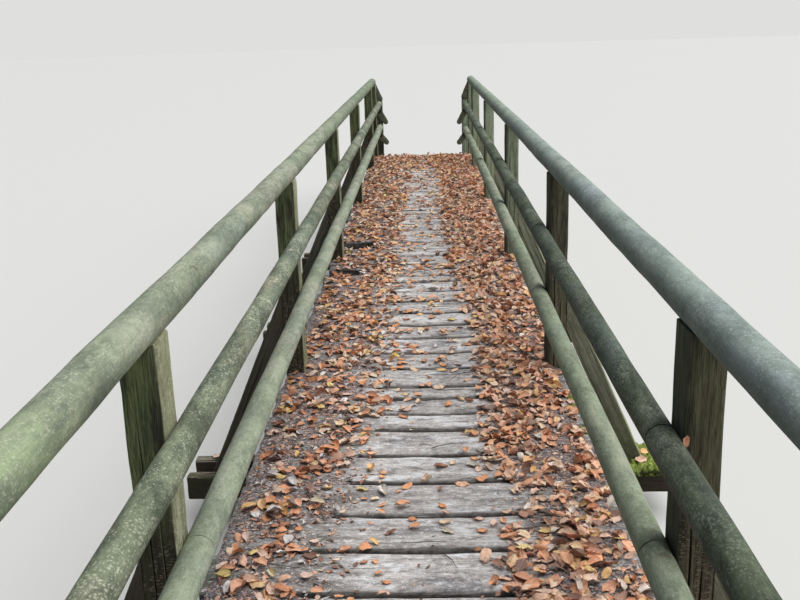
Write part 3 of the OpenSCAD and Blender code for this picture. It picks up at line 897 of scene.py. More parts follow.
def log(start, length, radius, seed, flats, round_start, round_end, side, axis=along_y,
        upright_start=False, knots=2, run_on=None, stains=(), nail_holes=()):
    """A log from start along axis. Flats are the places along y where it bears on a post. Run_on
    is where the film of a log starts that carries on over its tight joints. A stain is (place
    along y, turn, length, strength): pale above 0, dark below. A nail hole is (y, turn)."""
    draw = np.random.default_rng(seed)
    axis = np.array(axis, float)
    rounding, chamfer = 0.020, 0.0009 if run_on is None else 0.0005
    bend = rounding if round_start else chamfer
    stop_bend = rounding if round_end else chamfer

    def along(y):
        return (y - start[1]) / axis[1]

    knot_at = [(draw.uniform(0.1, length - 0.1), draw.uniform(0, 2 * np.pi),
                draw.uniform(0.010, 0.018)) for _ in range(knots)]
    knot_at += [(along(y), math.radians(turn), 0.017) for y, turn in nail_holes
                if 0.02 < along(y) < length - 0.02]
    places = [*np.linspace(bend, length - stop_bend, max(3, round(length / 0.08)))]
    places += [at + d for at, _, _ in knot_at for d in (-0.018, -0.009, 0.0, 0.009, 0.018)]
    places += [along(y) + way * (post_half + d) for y in flats
               for way, d in ((-1, 0.0025), (-1, 0.0005), (1, 0.0005), (1, 0.0025))]
    u, inset = log_rings(length, sorted(p for p in places if bend <= p <= length - stop_bend),
                         bend, stop_bend)
    angle, deep = log_columns(radius, np.pi - side * draw.uniform(0.5, 1.3))
    check_from = draw.uniform(0, 0.6) * length
    check_to = check_from + draw.uniform(0.25, 0.8)
    past = (u - (check_from + check_to) / 2) / ((check_to - check_from) / 2)
    gate = np.sqrt(np.clip(1 - past ** 2, 0, 1))[:, None]

    def sways(size, own_seed):
        return wobble(u[:, None], size, own_seed)[:, None]

    a = angle + 0.004 / radius * sways(0.3, seed + 1) * (deep > 0)
    cos, sin = np.cos(a), np.sin(a)
    surface = np.stack([np.broadcast_to(u[:, None], a.shape) * 0.35, cos * radius, sin * radius],
                       -1)
    r = radius * (1 + 0.006 * np.cos(2 * angle + 2 * sways(3.0, seed + 2)))
    r = r + 0.0008 * wobble(surface, 0.09, seed + 3) + 0.0003 * wobble(surface, 0.02, seed + 4)
    r = r - 0.0055 * gate * (deep == 1) - radius * 0.006
    knot = np.zeros_like(r)
    swell = 0.0012
    for at, turn, size in knot_at:
        away = np.hypot(u[:, None] - at, radius * off_turn(angle, turn))
        r = r + swell * np.exp(-(away / size) ** 2) - swell * np.exp(-(away / (size * 0.45)) ** 2)
        knot = np.maximum(knot, np.exp(-(away / (size * 0.8)) ** 2))
    r = r - inset[:, None]
    rings = np.stack([np.broadcast_to(u[:, None], r.shape), r * cos, r * sin], -1)
    for k in (1, 2):
        rings[..., k] += 0.0022 * np.sin(np.pi * u / length)[:, None] * sways(1.6, seed + 4 + k)
    if upright_start:
        rings[..., 0] += np.clip(1 - rings[..., 0] / 0.2, 0, 1) * rings[..., 1] * axis[2] / axis[1]
    y = start[1] + rings[..., 0] * axis[1]
    post_face = side * (post_inner - 0.0002) - start[0]
    for at in flats:
        cut_flat = (np.minimum if side > 0 else np.maximum)(rings[..., 2], post_face)
        bears = np.abs(y - at) < post_half + 0.0012
        rings[..., 2] = np.where(bears, cut_flat, rings[..., 2])
    stain = np.zeros_like(r)
    for at, turn, long, strength in stains:
        round_it = radius * off_turn(angle, math.radians(turn))
        away = np.hypot((start[1] + u[:, None] * axis[1] - at) / long, round_it / (0.5 * long))
        stain += strength * np.exp(-away ** 2)
    joint = np.exp(-np.minimum(u, length - u) / 0.035)[:, None] * np.ones_like(r)
    first_half = u < length / 2
    cut = inset > 0.9 * np.where(first_half, bend, stop_bend)
    if run_on is not None:
        joint = np.zeros_like(r)
        cut &= np.where(first_half, round_start, round_end)
    marks = {"worn": np.zeros_like(r), "check": gate * deep, "knot": knot, "joint": joint,
             "stain": stain, "end": np.broadcast_to(cut[:, None], r.shape) * 1.0}
    return skin(rings, marks, start, axis, along_x, seed, pith=(0.004, -0.003),
                tone=draw.uniform(0, 1), grain_at=run_on)


def log_film(name, algae, deep, lichen, flecks, cover, bare_pale, warm, cool, outer=0.0, side=1,
             damp=0.0, beyond=None, bright=None):
    """Algae over bare log wood, with warmer and bluer patches, brown knots and dark ends. Outer is
    how much of a bluer, darker film lies on the side away from the deck; on the left rails that
    side faces away from the light, and the film there is partly painted shade. Damp is how much
    darker the log is on its lower side towards the deck: damp film, and painted shade for the side
    away from the light. Beyond is the algae's colour at the far end, and bright the place of a
    fresher green patch."""
    coats = TimberCoats(name, bare_pale, tuple(0.4 * c for c in bare_pale), ring_width=0.004,
                        lines=0.5, roughness=0.8)
    base = mix(step(noise(coats.grain, 0.24, 3, 0.6, (2.5, 1, 1)), 0.46, 0.60), algae, warm)
    patch = noise(coats.place, 0.20, 3, 0.6, (1, 3, 1))
    base = mix(step(patch, 0.50, 0.64, 0.0, 0.85), base, cool)
    if beyond:
        base = mix(step(coats.at["Y"], -1.0, 4.0), base, beyond)
    if bright:
        away = add(coats.tree, "ShaderNodeVectorMath", {0: coats.place, 1: bright},
                   operation="DISTANCE")["Value"]
        base = mix(step(away + patch * 0.15, 0.12, 0.36, 0.7, 0.0), base, (0.26, 0.385, 0.165))
    outwards = coats.facing["X"] * side
    # The side away from the deck takes a darker, bluer film: on the left rails partly painted
    # shade.
    base = mix(step(outwards, 0.0, 0.75, 0.0, outer), base, tuple(0.8 * c for c in cool))
    green = coats.group(film, {"Place": coats.grain, "Algae": base, "Deep": deep,
                               "Lichen": lichen, "Flecks": flecks, "Cover": cover})
    coats.colour = mix(green["Mask"], coats.bare["Color"], green["Color"])
    coats.coat(step(noise(coats.grain, 0.0028, 3, 0.6, (26, 1, 1)), 0.34, 0.52, 0.28, 0.0), deep)
    ragged = step(noise(coats.grain, 0.022, 4, 0.65, (1.5, 1, 1)), 0.35, 0.6, 0.45, 1.0)
    stain = coats.mark("stain")
    coats.coat(step(stain, 0.0, 1.0) * ragged, lichen)
    # Darker on the lower side towards the deck: damp film and painted shade.
    wet_and_shade = step(outwards * -0.85 + coats.facing["Z"] * -0.5, -0.1, 0.9, 0.0, damp)
    dark = calc("MAXIMUM", step(stain, -1.0, 0.0, 1.0, 0.0) * ragged, wet_and_shade)
    dark = calc("MAXIMUM", dark, coats.mark("joint") * 0.75 * ragged)
    coats.coat(dark, tuple(0.45 * c for c in deep))
    coats.coat(coats.mark("knot") * 0.75, (0.09, 0.060, 0.036))
    cut = calc("MAXIMUM", step(coats.mark("check"), 0.35, 0.9), coats.mark("end") * 0.5)
    coats.coat(cut * 0.8, (0.02, 0.018, 0.012))
    return coats.finish(coats.bare["Height"] * 0.35 + green["Height"], 0.0008)


rail_film = {
    "top_rail_left": log_film(
        "left_handrail_film", (0.345, 0.385, 0.27), (0.13, 0.16, 0.12), (0.58, 0.59, 0.48), 0.45,
        0.86, (0.43, 0.40, 0.31), (0.44, 0.43, 0.34), (0.25, 0.31, 0.26), outer=0.25, side=-1,
        beyond=(0.225, 0.29, 0.18), bright=(-0.61, -4.30, 1.79)),
    "top_rail_right": log_film(
        "right_handrail_film", (0.325, 0.39, 0.355), (0.15, 0.19, 0.175), (0.60, 0.66, 0.64), 0.35,
        0.93, (0.36, 0.38, 0.35), (0.38, 0.43, 0.38), (0.31, 0.37, 0.39), damp=0.55,
        beyond=(0.37, 0.45, 0.31)),
    "mid_rail_left": log_film(
        "left_middle_rail_film", (0.26, 0.30, 0.20), (0.060, 0.075, 0.055), (0.58, 0.59, 0.46),
        0.72, 0.88, (0.34, 0.31, 0.23), (0.32, 0.32, 0.235), (0.19, 0.24, 0.19), outer=0.2,
        side=-1),
    # The right middle rail has darker colours than the left one: painted shade for the side away
    # from the light.
    "mid_rail_right": log_film(
        "shaded_right_middle_rail_film", (0.155, 0.19, 0.12), (0.028, 0.038, 0.028), (0.36, 0.40, 0.33),
        0.50, 0.90, (0.20, 0.20, 0.15), (0.19, 0.21, 0.15), (0.13, 0.175, 0.155), damp=0.5,
        beyond=(0.27, 0.33, 0.23)),
    "low_rail_left": log_film(
        "left_lower_rail_film", (0.39, 0.44, 0.32), (0.17, 0.20, 0.145), (0.62, 0.64, 0.54), 0.35,
        0.88, (0.43, 0.41, 0.32), (0.48, 0.48, 0.39), (0.37, 0.43, 0.36), side=-1),
    "low_rail_right": log_film(
        "right_lower_rail_film", (0.39, 0.46, 0.32), (0.165, 0.20, 0.14), (0.64, 0.66, 0.55), 0.35,
        0.88, (0.43, 0.41, 0.32), (0.48, 0.50, 0.38), (0.37, 0.44, 0.36), damp=0.5)}
wing_film = log_film(
    "wing_log_film", (0.155, 0.185, 0.085), (0.03, 0.036, 0.022), (0.36, 0.38, 0.25), 0.5, 0.82,
    (0.15, 0.12, 0.075), (0.17, 0.15, 0.085), (0.10, 0.13, 0.07), outer=0.3)
rail_stains = {
    "top_rail_left": [(-4.28, 10, 0.20, 0.30), (-3.95, 90, 0.16, -0.6), (-3.70, 60, 0.16, 0.5),
                      (-3.30, 80, 0.12, -0.4), (-2.9, 60, 0.15, 0.35)],
    "top_rail_right": [(-4.10, 150, 0.022, 1.4), (-3.35, 95, 0.10, 0.4), (-2.35, 90, 0.16, 0.3)],
    "mid_rail_left": [(-3.95, 80, 0.16, -0.45), (-3.50, 70, 0.14, -0.55), (-2.75, 60, 0.2, -0.3)],
    "mid_rail_right": [(-3.9, 60, 0.12, 0.3), (-3.3, 60, 0.2, -0.4), (-2.9, 50, 0.12, 0.3)],
    "low_rail_left": [(-3.3, 90, 0.1, -0.3)], "low_rail_right": [(-3.0, 80, 0.15, 0.3)]}
rail_nail_holes = {"low_rail_right": [(-3.61, 12)]}
post_nodes = [f"posts_{i}" for i in pairs] + ["end_posts_near", "end_posts_far"]
post_places = sorted({round((points[:, 1].min() + points[:, 1].max()) / 2, 4)
                      for node in post_nodes for points in solids(node)})
overlap = 0.0014
for rail, material in rail_film.items():
    side = -1 if rail.endswith("left") else 1
    handrail = rail.startswith("top")
    tight = handrail or rail == "low_rail_left"
    logs = []
    cut_logs = by_place(rail)
    for number, (low, high) in enumerate(map(box_of, cut_logs)):
        radius = (high[2] - low[2]) / 2
        centre_x = low[0] + radius if side > 0 else high[0] - radius
        seed = 3000 + 100 * len(rail) + 31 * number + (7 if side > 0 else 0) + ord(rail[0])
        first, last = number == 0, number == len(cut_logs) - 1
        start = low[1] - (overlap if tight and not first else 0)
        length = high[1] + (overlap if tight and not last else 0) - start
        logs.append(log((centre_x, start, (low[2] + high[2]) / 2), length, radius, seed,
                        flats=() if handrail else post_places, round_start=first, round_end=last,
                        side=side, knots=max(1, round(length / 1.3)),
                        run_on=(start, 3.0 * side, 1.0) if tight else None,
                        stains=rail_stains[rail], nail_holes=rail_nail_holes.get(rail, ())))
    join(rail + "_logs", logs, material, [rail],
         sharp=45)


# Wings: beyond the end posts three more logs a side fall to the wing posts. The upper one lies in
# the post's head, the others start under the main rails and end rounded.
wing_slope = math.atan2(0.300, 1.880)
end_post_y, wing_post_y = 6.92, 8.80
for end_name, way in (("near", -1), ("far", 1)):
    axis = np.array([0, way * math.cos(wing_slope), -math.sin(wing_slope)])
    rise = np.array([0, way * math.sin(wing_slope), math.cos(wing_slope)])
    for side_name, side in (("left", -1), ("right", 1)):
        node = f"wing_rails_{end_name}_{side_name}"
        logs = []
        top_first = sorted(solids(node), key=lambda points: -points[:, 2].max())
        for number, points in enumerate(top_first):
            along, up = points @ axis, points @ rise
            radius = (up.max() - up.min()) / 2
            top_log = number == 0
            begin = along.min() + (radius * math.tan(wing_slope) if top_log else 0)
            start = axis * begin + rise * (up.max() + up.min()) / 2
            start[0] = side * (np.abs(points[:, 0]).min() + radius)
            seed = 5000 + 10 * number + (100 if way > 0 else 0) + (200 if side > 0 else 0)
            bears_at = () if top_log else (way * end_post_y, way * wing_post_y)
            logs.append(log(tuple(start), along.max() - begin, radius, seed, axis=axis,
                            flats=bears_at, round_start=not top_log, round_end=True,
                            upright_start=top_log, side=side))
        join(f"wing_{end_name}_{side_name}_logs", logs, wing_film, [node],
             sharp=45)


# Humus: leaves rotted to dark crumbs lie a few millimetres thick along both edges of the deck,
# and lap over its edge on the near left side. They bridge the joints of the boards and thin out
# to nothing inwards.
clear_strip = np.array([          # distance along the bridge, left and right edge of bare boards
    (-9.0, -0.42, 0.20), (-3.12, -0.40, 0.20), (-2.77, -0.36, 0.25), (-2.56, -0.30, 0.33),
    (-2.32, -0.30, 0.17), (-2.05, -0.22, 0.17), (-1.62, -0.16, 0.22), (-0.93, -0.14, 0.24),
    (1.08, -0.15, 0.15), (4.22, -0.15, 0.14), (5.7, -0.13, 0.13), (6.4, -0.06, 0.06),
    (9.0, 0.0, 0.0)]).T
deck_start, deck_stop = boards[0][0][1], boards[-1][1][1]
board_near = np.array([low[1] for low, high in boards])
board_left = np.array([low[0] for low, high in boards])
board_right = np.array([high[0] for low, high in boards])
litter_edge = 0.665


def deck_reach(y):
    """How far the boards run to the left and to the right at this place along the bridge."""
    k = np.clip(np.searchsorted(board_near, y) - 1, 0, len(boards) - 1)
    return np.maximum(board_left[k], -litter_edge), np.minimum(board_right[k], litter_edge)


humus = Coats("humus_crumbs", roughness=0.92, gloss=0.2)
chip = add(humus.tree, "ShaderNodeTexVoronoi", {"Vector": humus.place, "Scale": 150.0})
chip_tone = add(humus.tree, "ShaderNodeSeparateColor", {0: chip["Color"]})
crumb = noise(humus.place, 0.006, 4, 0.75)
humus.colour = mix(step(crumb, 0.36, 0.64), (0.026, 0.022, 0.024), (0.33, 0.295, 0.32))
humus.coat(step(noise(humus.place, 0.028, 4, 0.65), 0.35, 0.6, 0.6, 0.0), (0.048, 0.040, 0.043))
humus.coat(step(chip_tone[0], 0.66, 0.80, 0.0, 0.75), (0.55, 0.42, 0.38))
humus.coat(step(chip_tone[1], 0.84, 0.93, 0.0, 0.7), (0.42, 0.19, 0.10))
humus.coat(step(chip_tone[2], 0.88, 0.95, 0.0, 0.7), (0.66, 0.63, 0.60))
humus_crumbs = humus.finish(crumb + chip["Distance"] * -0.8, 0.004)


def humus_strip(name, side):
    """A long low heap of crumbs on one edge of the deck, thin and ragged on its inner side."""
    lengths, columns = 7, 17
    share = np.linspace(0, 1, columns)
    heap = smooth(share, 0.0, 0.05 if side < 0 else 0.12) * np.sqrt(1 - share)
    whole = deck_stop - deck_start - 0.04
    parts = []
    for number in range(lengths):
        first = deck_start + 0.03 + number * whole / lengths
        y = np.arange(first, first + whole / lengths - 0.004, 0.020)
        left, right = deck_reach(y)
        lap = np.interp(y, (-3.3, -2.95, 0.2, 1.2), (0.0, 1.0, 1.0, 0.0)) if side < 0 else 0.0
        inset = 0.012 + 0.008 * wobble(y[:, None], 0.15, 71 + number) - 0.026 * lap
        outer = (left if side < 0 else right) - side * inset
        inner = np.interp(y, clear_strip[0], clear_strip[1 if side < 0 else 2])
        reach = np.interp(y, (-3.4, -2.6, -1.8), (-0.10, -0.05, 0.03)) if side < 0 else 0.02
        inner = inner + side * (reach + 0.05 * (1 + wobble(y[:, None], 0.10, 83 + number + side)))
        inner = np.where(np.abs(inner) > np.abs(outer) - 0.05, outer - side * 0.05, inner)
        x = outer[:, None] + (inner - outer)[:, None] * share
        spot = np.stack([x, np.broadcast_to(y[:, None], x.shape)], -1)
        rise = 0.0024 + 0.0040 * wobble(spot, 0.12, 90 + number) + 0.0022 * wobble(spot, 0.035, 97)
        rise += 0.0016 * wobble(spot, 0.018, 98)
        z = heap * rise - 0.0032 * (1 - heap)
        z[:, (0, -1)] = -0.004
        from_end = np.minimum(np.arange(len(y)), np.arange(len(y))[::-1])
        ends = np.clip(from_end / 2, 0, 1)[:, None]
        z = z * ends - 0.004 * (1 - ends)
        rings = np.stack([np.broadcast_to(y[:, None], x.shape), z, x], -1)
        if side > 0:
            rings = rings[:, ::-1]
        parts.append(skin(rings, {"worn": np.zeros_like(x)}, (0, 0, deck_top), along_y, along_x,
                          700 + number))
    join(name, parts, humus_crumbs, sharp=80)


humus_strip("humus_left", -1)
humus_strip("humus_right", 1)


# Leaf litter: dry beech leaves, curled and folded, lie thick on the right side and the far end,
# in loose clumps on the left, and singly in the middle. Copper, orange, tan, pink and grey.
leaf_tints = [(0.0, (0.10, 0.065, 0.060)), (0.10, (0.28, 0.14, 0.10)), (0.22, (0.58, 0.25, 0.14)),
              (0.36, (0.96, 0.42, 0.19)), (0.50, (1.0, 0.56, 0.35)), (0.62, (0.90, 0.65, 0.53)),
              (0.74, (1.0, 0.80, 0.58)), (0.83, (1.0, 0.60, 0.20)), (0.90, (1.0, 0.82, 0.32)),
              (0.95, (0.76, 0.73, 0.69)), (1.0, (1.0, 0.98, 0.93))]
leaf = Coats("dry_beech_leaf", roughness=0.62, gloss=0.35)
on_leaf = add(leaf.tree, "ShaderNodeSeparateXYZ", {0: leaf.mark("leaf", "Vector")})
leaf.colour = add(leaf.tree, "ShaderNodeValToRGB", {0: on_leaf["Z"]})["Color"]
tint_stops = leaf.colour.socket.node.color_ramp.elements
for (at, tint), tint_stop in zip((leaf_tints[0], leaf_tints[-1]), list(tint_stops)):
    tint_stop.position, tint_stop.color = at, (*tint, 1)
for at, tint in leaf_tints[1:-1]:
    tint_stops.new(at).color = (*tint, 1)
off_midrib = abs(on_leaf["Y"])
rib_turn = on_leaf["X"] * 9.0 - off_midrib * 2.2
rib = step(abs(calc("FRACT", rib_turn) - 0.5), 0.36, 0.5)
rim = calc("MAXIMUM", off_midrib, abs(on_leaf["X"]) * 2.0)
blot = noise(leaf.place, 0.012, 4, 0.65)
leaf.coat(step(blot, 0.34, 0.50, 0.35, 0.0), (0.16, 0.07, 0.045))
leaf.coat(step(blot, 0.54, 0.70, 0.0, 0.4), (0.97, 0.80, 0.60))
# Patches across the litter are multiplied darker: painted shade.
leaf.coat(step(noise(leaf.place, 0.035, 3, 0.6), 0.46, 0.60, 0.0, 0.6), (0.78, 0.73, 0.70),
          "MULTIPLY")
leaf.coat(step(leaf.at["X"], -0.36, -0.16, 0.40, 0.0) * step(leaf.at["Y"], -2.6, -0.8, 1.0, 0.6),
          (0.65, 0.65, 0.80), "MULTIPLY")
leaf.coat(step(leaf.at["X"], 0.12, 0.34, 0.0, 0.2), (1.0, 0.63, 0.52))
leaf.coat(step(rim, 0.68, 1.0, 0.0, 0.4), (0.22, 0.10, 0.06))
leaf.coat(rib * 0.22, (0.24, 0.10, 0.05))
leaf.coat(step(off_midrib, 0.03, 0.12, 1.0, 0.0) * 0.45, (0.50, 0.32, 0.18))
dry_leaf = leaf.finish(blot * 0.6 - rib, 0.0008, strength=0.8)

# The outline of a leaf, as (share of its length from the middle, share of its full width).
near_leaf = (-0.47, 0.06), (-0.33, 0.68), (-0.12, 0.97), (0.12, 0.95), (0.33, 0.58)
plain_leaf = (-0.47, 0.06), (-0.27, 0.80), (0.0, 1.0), (0.27, 0.72)
far_leaf = (-0.46, 0.10), (-0.14, 0.98), (0.20, 0.86)
crumb_shape = ((0.0, 1.0),)
stalk_tip, leaf_tip, leaf_thick = -0.66, 0.5, 0.0005


def leaf_skins(places, length, width, turn, roll, arch, tilt, tint_share, shape, strips, draw):
    """Thin closed leaves of this shape lying on places, each rolled, arched, tilted, turned. A
    leaf has this many strips of faces from edge to edge, above and below."""
    count, rows, around = len(places), len(shape), 2 * strips
    shares = np.array(shape)
    order = np.arange(around)
    twin = np.minimum(order, around - order)
    sides = 1 - 2 * twin / strips
    off_edge = (twin > 0) & (twin < strips)
    along = np.concatenate([shares[:, 0].repeat(around), [stalk_tip, leaf_tip]])
    along = along[None].repeat(count, 0)
    wide = draw.uniform(0.80, 1.16, (count, rows, 2))[:, :, (sides < 0).astype(int)]
    across = np.zeros_like(along)
    across[:, :-2] = (wide * shares[:, 1:] * sides / 2).reshape(count, -1)
    upper = np.concatenate([np.tile(np.where(order < strips, 1, -1) * off_edge, rows), [0, 0]])
    a, b = along * length[:, None], across * width[:, None]
    bend = roll[:, None] / (width[:, None] / 2)
    lift = (1 - np.cos(bend * b)) / bend + upper * leaf_thick / 2
    b = np.sin(bend * b) / bend
    bow = arch[:, None] / (length[:, None] / 2)
    lift = lift + (1 - np.cos(bow * a)) / bow
    a = np.sin(bow * a) / bow
    crumple = draw.uniform(-1, 1, (count, rows, strips + 1))[:, :, twin] * (
        0.45 + 0.55 * abs(sides))
    fold = draw.normal(0.035, 0.075, (count, 1, 1)) * abs(sides)
    lift[:, :-2] += length[:, None] * (0.085 * crumple + fold).reshape(count, -1)
    pitch, lean = tilt[:, :1], tilt[:, 1:]
    lift, a = (lift * np.cos(pitch) + a * np.sin(pitch),
               a * np.cos(pitch) - lift * np.sin(pitch))
    lift, b = lift * np.cos(lean) + b * np.sin(lean), b * np.cos(lean) - lift * np.sin(lean)
    lift -= lift.min(1, keepdims=True)
    cos, sin = np.cos(turn)[:, None], np.sin(turn)[:, None]
    points = np.stack([a * cos - b * sin, a * sin + b * cos, lift], -1) + places[:, None]
    row, j = np.meshgrid(around * np.arange(rows - 1), order, indexing="ij")
    k = (j + 1) % around
    base = np.stack([row + j, row + k, row + around + k, row + around + j], -1).reshape(-1, 4)
    stalk, tip, last = around * rows, around * rows + 1, around * (rows - 1)
    caps = np.array([(stalk, (j + 1) % around, j) for j in range(around)]
                    + [(tip, last + j, last + (j + 1) % around) for j in range(around)])
    shift = (around * rows + 2) * np.arange(count)[:, None, None]
    on_leaf = np.stack([along, across * 2, np.broadcast_to(tint_share[:, None], along.shape)], -1)
    return {"points": points.reshape(-1, 3), "quads": (base[None] + shift).reshape(-1, 4),
            "triangles": (caps[None] + shift).reshape(-1, 3),
            "marks": {"leaf": on_leaf.reshape(-1, 3)}}


litter_dip = 0.003      # how far the worn boards let it down on the walking line


def litter_depth(x, y):
    """How thick the litter lies here: 0 bare, 1 about one layer of leaves."""
    left, right = (np.interp(y, clear_strip[0], clear_strip[side]) for side in (1, 2))
    spot = np.stack([x, y], -1)
    ragged = 0.05 * wobble(spot, 0.16, 401)
    on_right = smooth(x + ragged, right - 0.02, right + 0.09)
    on_left = smooth(-x + ragged, -left - 0.02, -left + 0.08)
    left_level = np.interp(y, (-9, -2.6, -1.8, 0, 5.5, 7), (0.45, 0.42, 0.62, 0.68, 0.65, 0.9))
    right_level = np.interp(y, (-9, -3.3, -2.5, -1.0, 7), (0.85, 1.2, 1.05, 1.32, 1.25))
    singles = np.interp(y, (-9, -3.6, -3.4, -1.9, -1.7, 2, 5.5, 6.6, 7),
                        (0.09, 0.09, 0.0, 0.0, 0.12, 0.15, 0.28, 0.8, 1.0))
    clump = 0.8 + 0.45 * wobble(spot, 0.22, 402) + 0.25 * wobble(spot, 0.08, 403)
    on_sides = np.maximum(on_right * right_level, on_left * left_level)
    return on_sides * np.clip(clump, 0.15, 1.6) + singles


def crumb_depth(x, y):
    """How thick crumbs of leaves lie: as the litter does, and thicker on the near humus."""
    near_humus = 1.2 * smooth(-x, 0.12, 0.36) + 1.1 * smooth(x, 0.20, 0.40)
    return litter_depth(x, y) + 0.04 + near_humus * smooth(-y, 0.8, 2.0)


def litter(y_low, y_high, seed, to_the_metre, sizes, tints, rolls, lift_step, shape, strips,
           depth):
    """Leaves or crumbs of leaves over this length of the deck, as thick as the depth asks. Where
    several lie in one small square, each lies a lift step higher than the one before."""
    draw = np.random.default_rng(seed)
    most, margin, square = 1.6, 0.012, 0.03
    tries = int((y_high - y_low) * 2 * litter_edge * to_the_metre * most)
    x = draw.uniform(-litter_edge, litter_edge, tries)
    y = draw.uniform(y_low, y_high, tries)
    left, right = deck_reach(y)
    keep = draw.uniform(0, most, tries) < depth(x, y)
    keep &= (x > left + margin) & (x < right - margin)
    for post_y in post_places:
        keep &= ~((np.abs(y - post_y) < post_half + 0.01) & (np.abs(x) > post_inner - 0.006))
    x, y = x[keep], y[keep]
    count = len(x)
    cell = np.floor(x / square).astype(int) * 100000 + np.floor(y / square).astype(int)
    order = np.argsort(cell, kind="stable")
    starts = np.concatenate([[0], np.flatnonzero(np.diff(cell[order])) + 1])
    level = np.empty(count)
    level[order] = np.arange(count) - np.repeat(starts, np.diff(np.append(starts, count)))
    dense = np.clip(litter_depth(x, y), 0, 1.3)
    z = deck_top + 0.0004 + lift_step * level + 0.003 * dense * (np.abs(x - walk_x) > 0.2)
    z -= litter_dip * tread(x)
    length = draw.uniform(*sizes, count)
    tint_low, tint_high, weight = np.array(tints).T
    share = draw.choice(len(tints), count, p=weight / weight.sum())
    tint_share = draw.uniform(tint_low[share], tint_high[share])
    roll = draw.choice([-1, 1], count, p=(0.35, 0.65)) * draw.uniform(*rolls, count)
    roll = np.where(tint_share > 0.93, np.abs(roll) * 1.3 + 0.2, roll)
    arch = draw.choice([-1, 1], count) * draw.uniform(0.05, 0.7, count)
    tilt = draw.normal(0, 0.19, (count, 2)) * (0.4 + dense[:, None])
    return leaf_skins(np.stack([x, y, z], -1), length, length * draw.uniform(0.5, 0.72, count),
                      draw.uniform(0, 2 * np.pi, count), roll, arch, tilt, tint_share, shape,
                      strips, draw)


# The nearest leaves were read in a close look at the view, enlarged from this corner on:
# how far right and down, how long and at what turn each shows there, with its tint and its roll.
close_look_corner, enlarged = (230, 440), 5.227
read_leaves = np.array([
    (505, 48, 95, 20, 0.34, 0.5), (545, 60, 85, -30, 0.38, 0.6), (470, 62, 60, 60, 0.46, 0.4),
    (660, 20, 80, 10, 0.66, 0.9), (690, 70, 45, -20, 0.86, 0.8), (745, 70, 70, 15, 0.52, 0.7),
    (410, 118, 75, 10, 0.36, 0.3), (487, 122, 60, -40, 0.48, 0.6), (512, 152, 55, 0, 0.5, 0.3),
    (575, 135, 65, 15, 0.62, 0.3), (740, 145, 45, 80, 0.8, 0.6), (800, 165, 50, -30, 0.47, 0.5),
    (795, 188, 45, 10, 0.4, 0.4), (1105, 132, 85, 5, 0.16, 1.2), (1165, 115, 40, 60, 0.7, 1),
    (1270, 128, 95, -15, 0.955, 1.3), (1350, 142, 80, -25, 0.95, 1.4),
    (1315, 195, 90, 15, 0.35, 0.25), (1215, 228, 90, -5, 0.52, 0.4),
    (1030, 205, 80, 25, 0.72, 1.7), (925, 240, 80, 20, 0.4, 0.5), (880, 265, 40, 10, 0.48, 0.4),
    (1100, 250, 40, 40, 0.14, 0.8), (325, 222, 120, -35, 0.965, 1.2),
    (220, 190, 85, -15, 0.96, 1.2), (285, 170, 110, -15, 0.5, 0.9), (690, 255, 80, -10, 0.91, 1.1),
    (805, 265, 70, -60, 0.97, 1.2), (760, 305, 60, 10, 0.74, 1), (700, 305, 50, 0, 0.45, 0.4),
    (795, 335, 60, 10, 0.42, 0.3), (907, 335, 95, 3, 0.44, 0.3), (790, 375, 55, -5, 0.46, 0.4),
    (1110, 340, 60, -30, 0.36, 0.5), (1125, 372, 50, -20, 0.56, 0.9),
    (100, 355, 105, 20, 0.82, 0.3), (205, 330, 100, 20, 0.4, 0.5), (240, 385, 140, 15, 0.96, 1.3),
    (350, 340, 85, -30, 0.5, 0.6), (345, 388, 80, 20, 0.3, 0.6), (455, 330, 110, -10, 0.93, 1.2),
    (560, 365, 70, -40, 0.98, 1.1), (595, 380, 55, 20, 0.7, 0.8), (500, 400, 60, -10, 0.12, 0.6),
    (955, 410, 60, 10, 0.28, 0.4), (965, 452, 75, -10, 0.4, 0.35), (1125, 427, 80, 5, 0.72, 0.5),
    (1140, 472, 90, -15, 0.94, 1.3), (840, 480, 85, 20, 0.1, 1.3), (695, 465, 40, 0, 0.16, 0.5),
    (1300, 410, 75, 5, 0.6, 0.5), (1385, 435, 60, 50, 0.62, 0.5), (1322, 470, 75, -10, 0.42, 0.3),
    (1440, 468, 60, -20, 0.38, 0.6), (1475, 492, 60, -20, 0.24, 0.5), (265, 490, 85, 0, 0.41, 0.2),
    (362, 470, 50, 30, 0.36, 0.4), (440, 537, 65, 30, 0.66, 0.3), (325, 567, 75, -5, 0.36, 0.3),
    (392, 580, 45, 0, 0.4, 0.3), (605, 580, 75, 15, 0.47, 0.5), (710, 565, 95, 20, 0.42, 0.4),
    (752, 532, 75, -20, 0.82, 0.9), (562, 633, 60, 15, 0.7, 0.3), (700, 632, 55, 20, 0.2, 0.8),
    (757, 630, 45, -30, 0.42, 0.5), (778, 692, 60, 10, 0.4, 0.25), (820, 735, 60, 5, 0.32, 0.35),
    (805, 797, 75, 0, 0.54, 0.9), (125, 592, 70, 30, 0.89, 0.4), (155, 650, 105, -15, 0.48, 0.8),
    (400, 712, 90, 5, 0.62, 0.3), (285, 738, 90, 10, 0.5, 0.7), (220, 702, 80, -40, 0.92, 1.1),
    (222, 792, 85, -60, 0.6, 0.8), (110, 745, 110, 0, 0.56, 0.9), (455, 795, 90, 0, 0.46, 0.6),
    (570, 822, 60, 0, 0.38, 0.4), (630, 828, 50, 30, 0.42, 0.4), (1340, 612, 90, 60, 0.58, 0.5),
    (1300, 567, 60, 0, 0.16, 0.7), (1515, 562, 110, -35, 0.985, 0.7),
    (1435, 722, 95, -5, 0.52, 0.3), (1512, 725, 100, -60, 0.18, 0.6),
    (1478, 672, 45, 0, 0.42, 0.4), (1395, 650, 100, -30, 0.12, 1)])
lying_height, longest_leaf = 0.006, 0.080
with_stalk = 1.1        # the length with the stalk, as it was read, against that of the blade


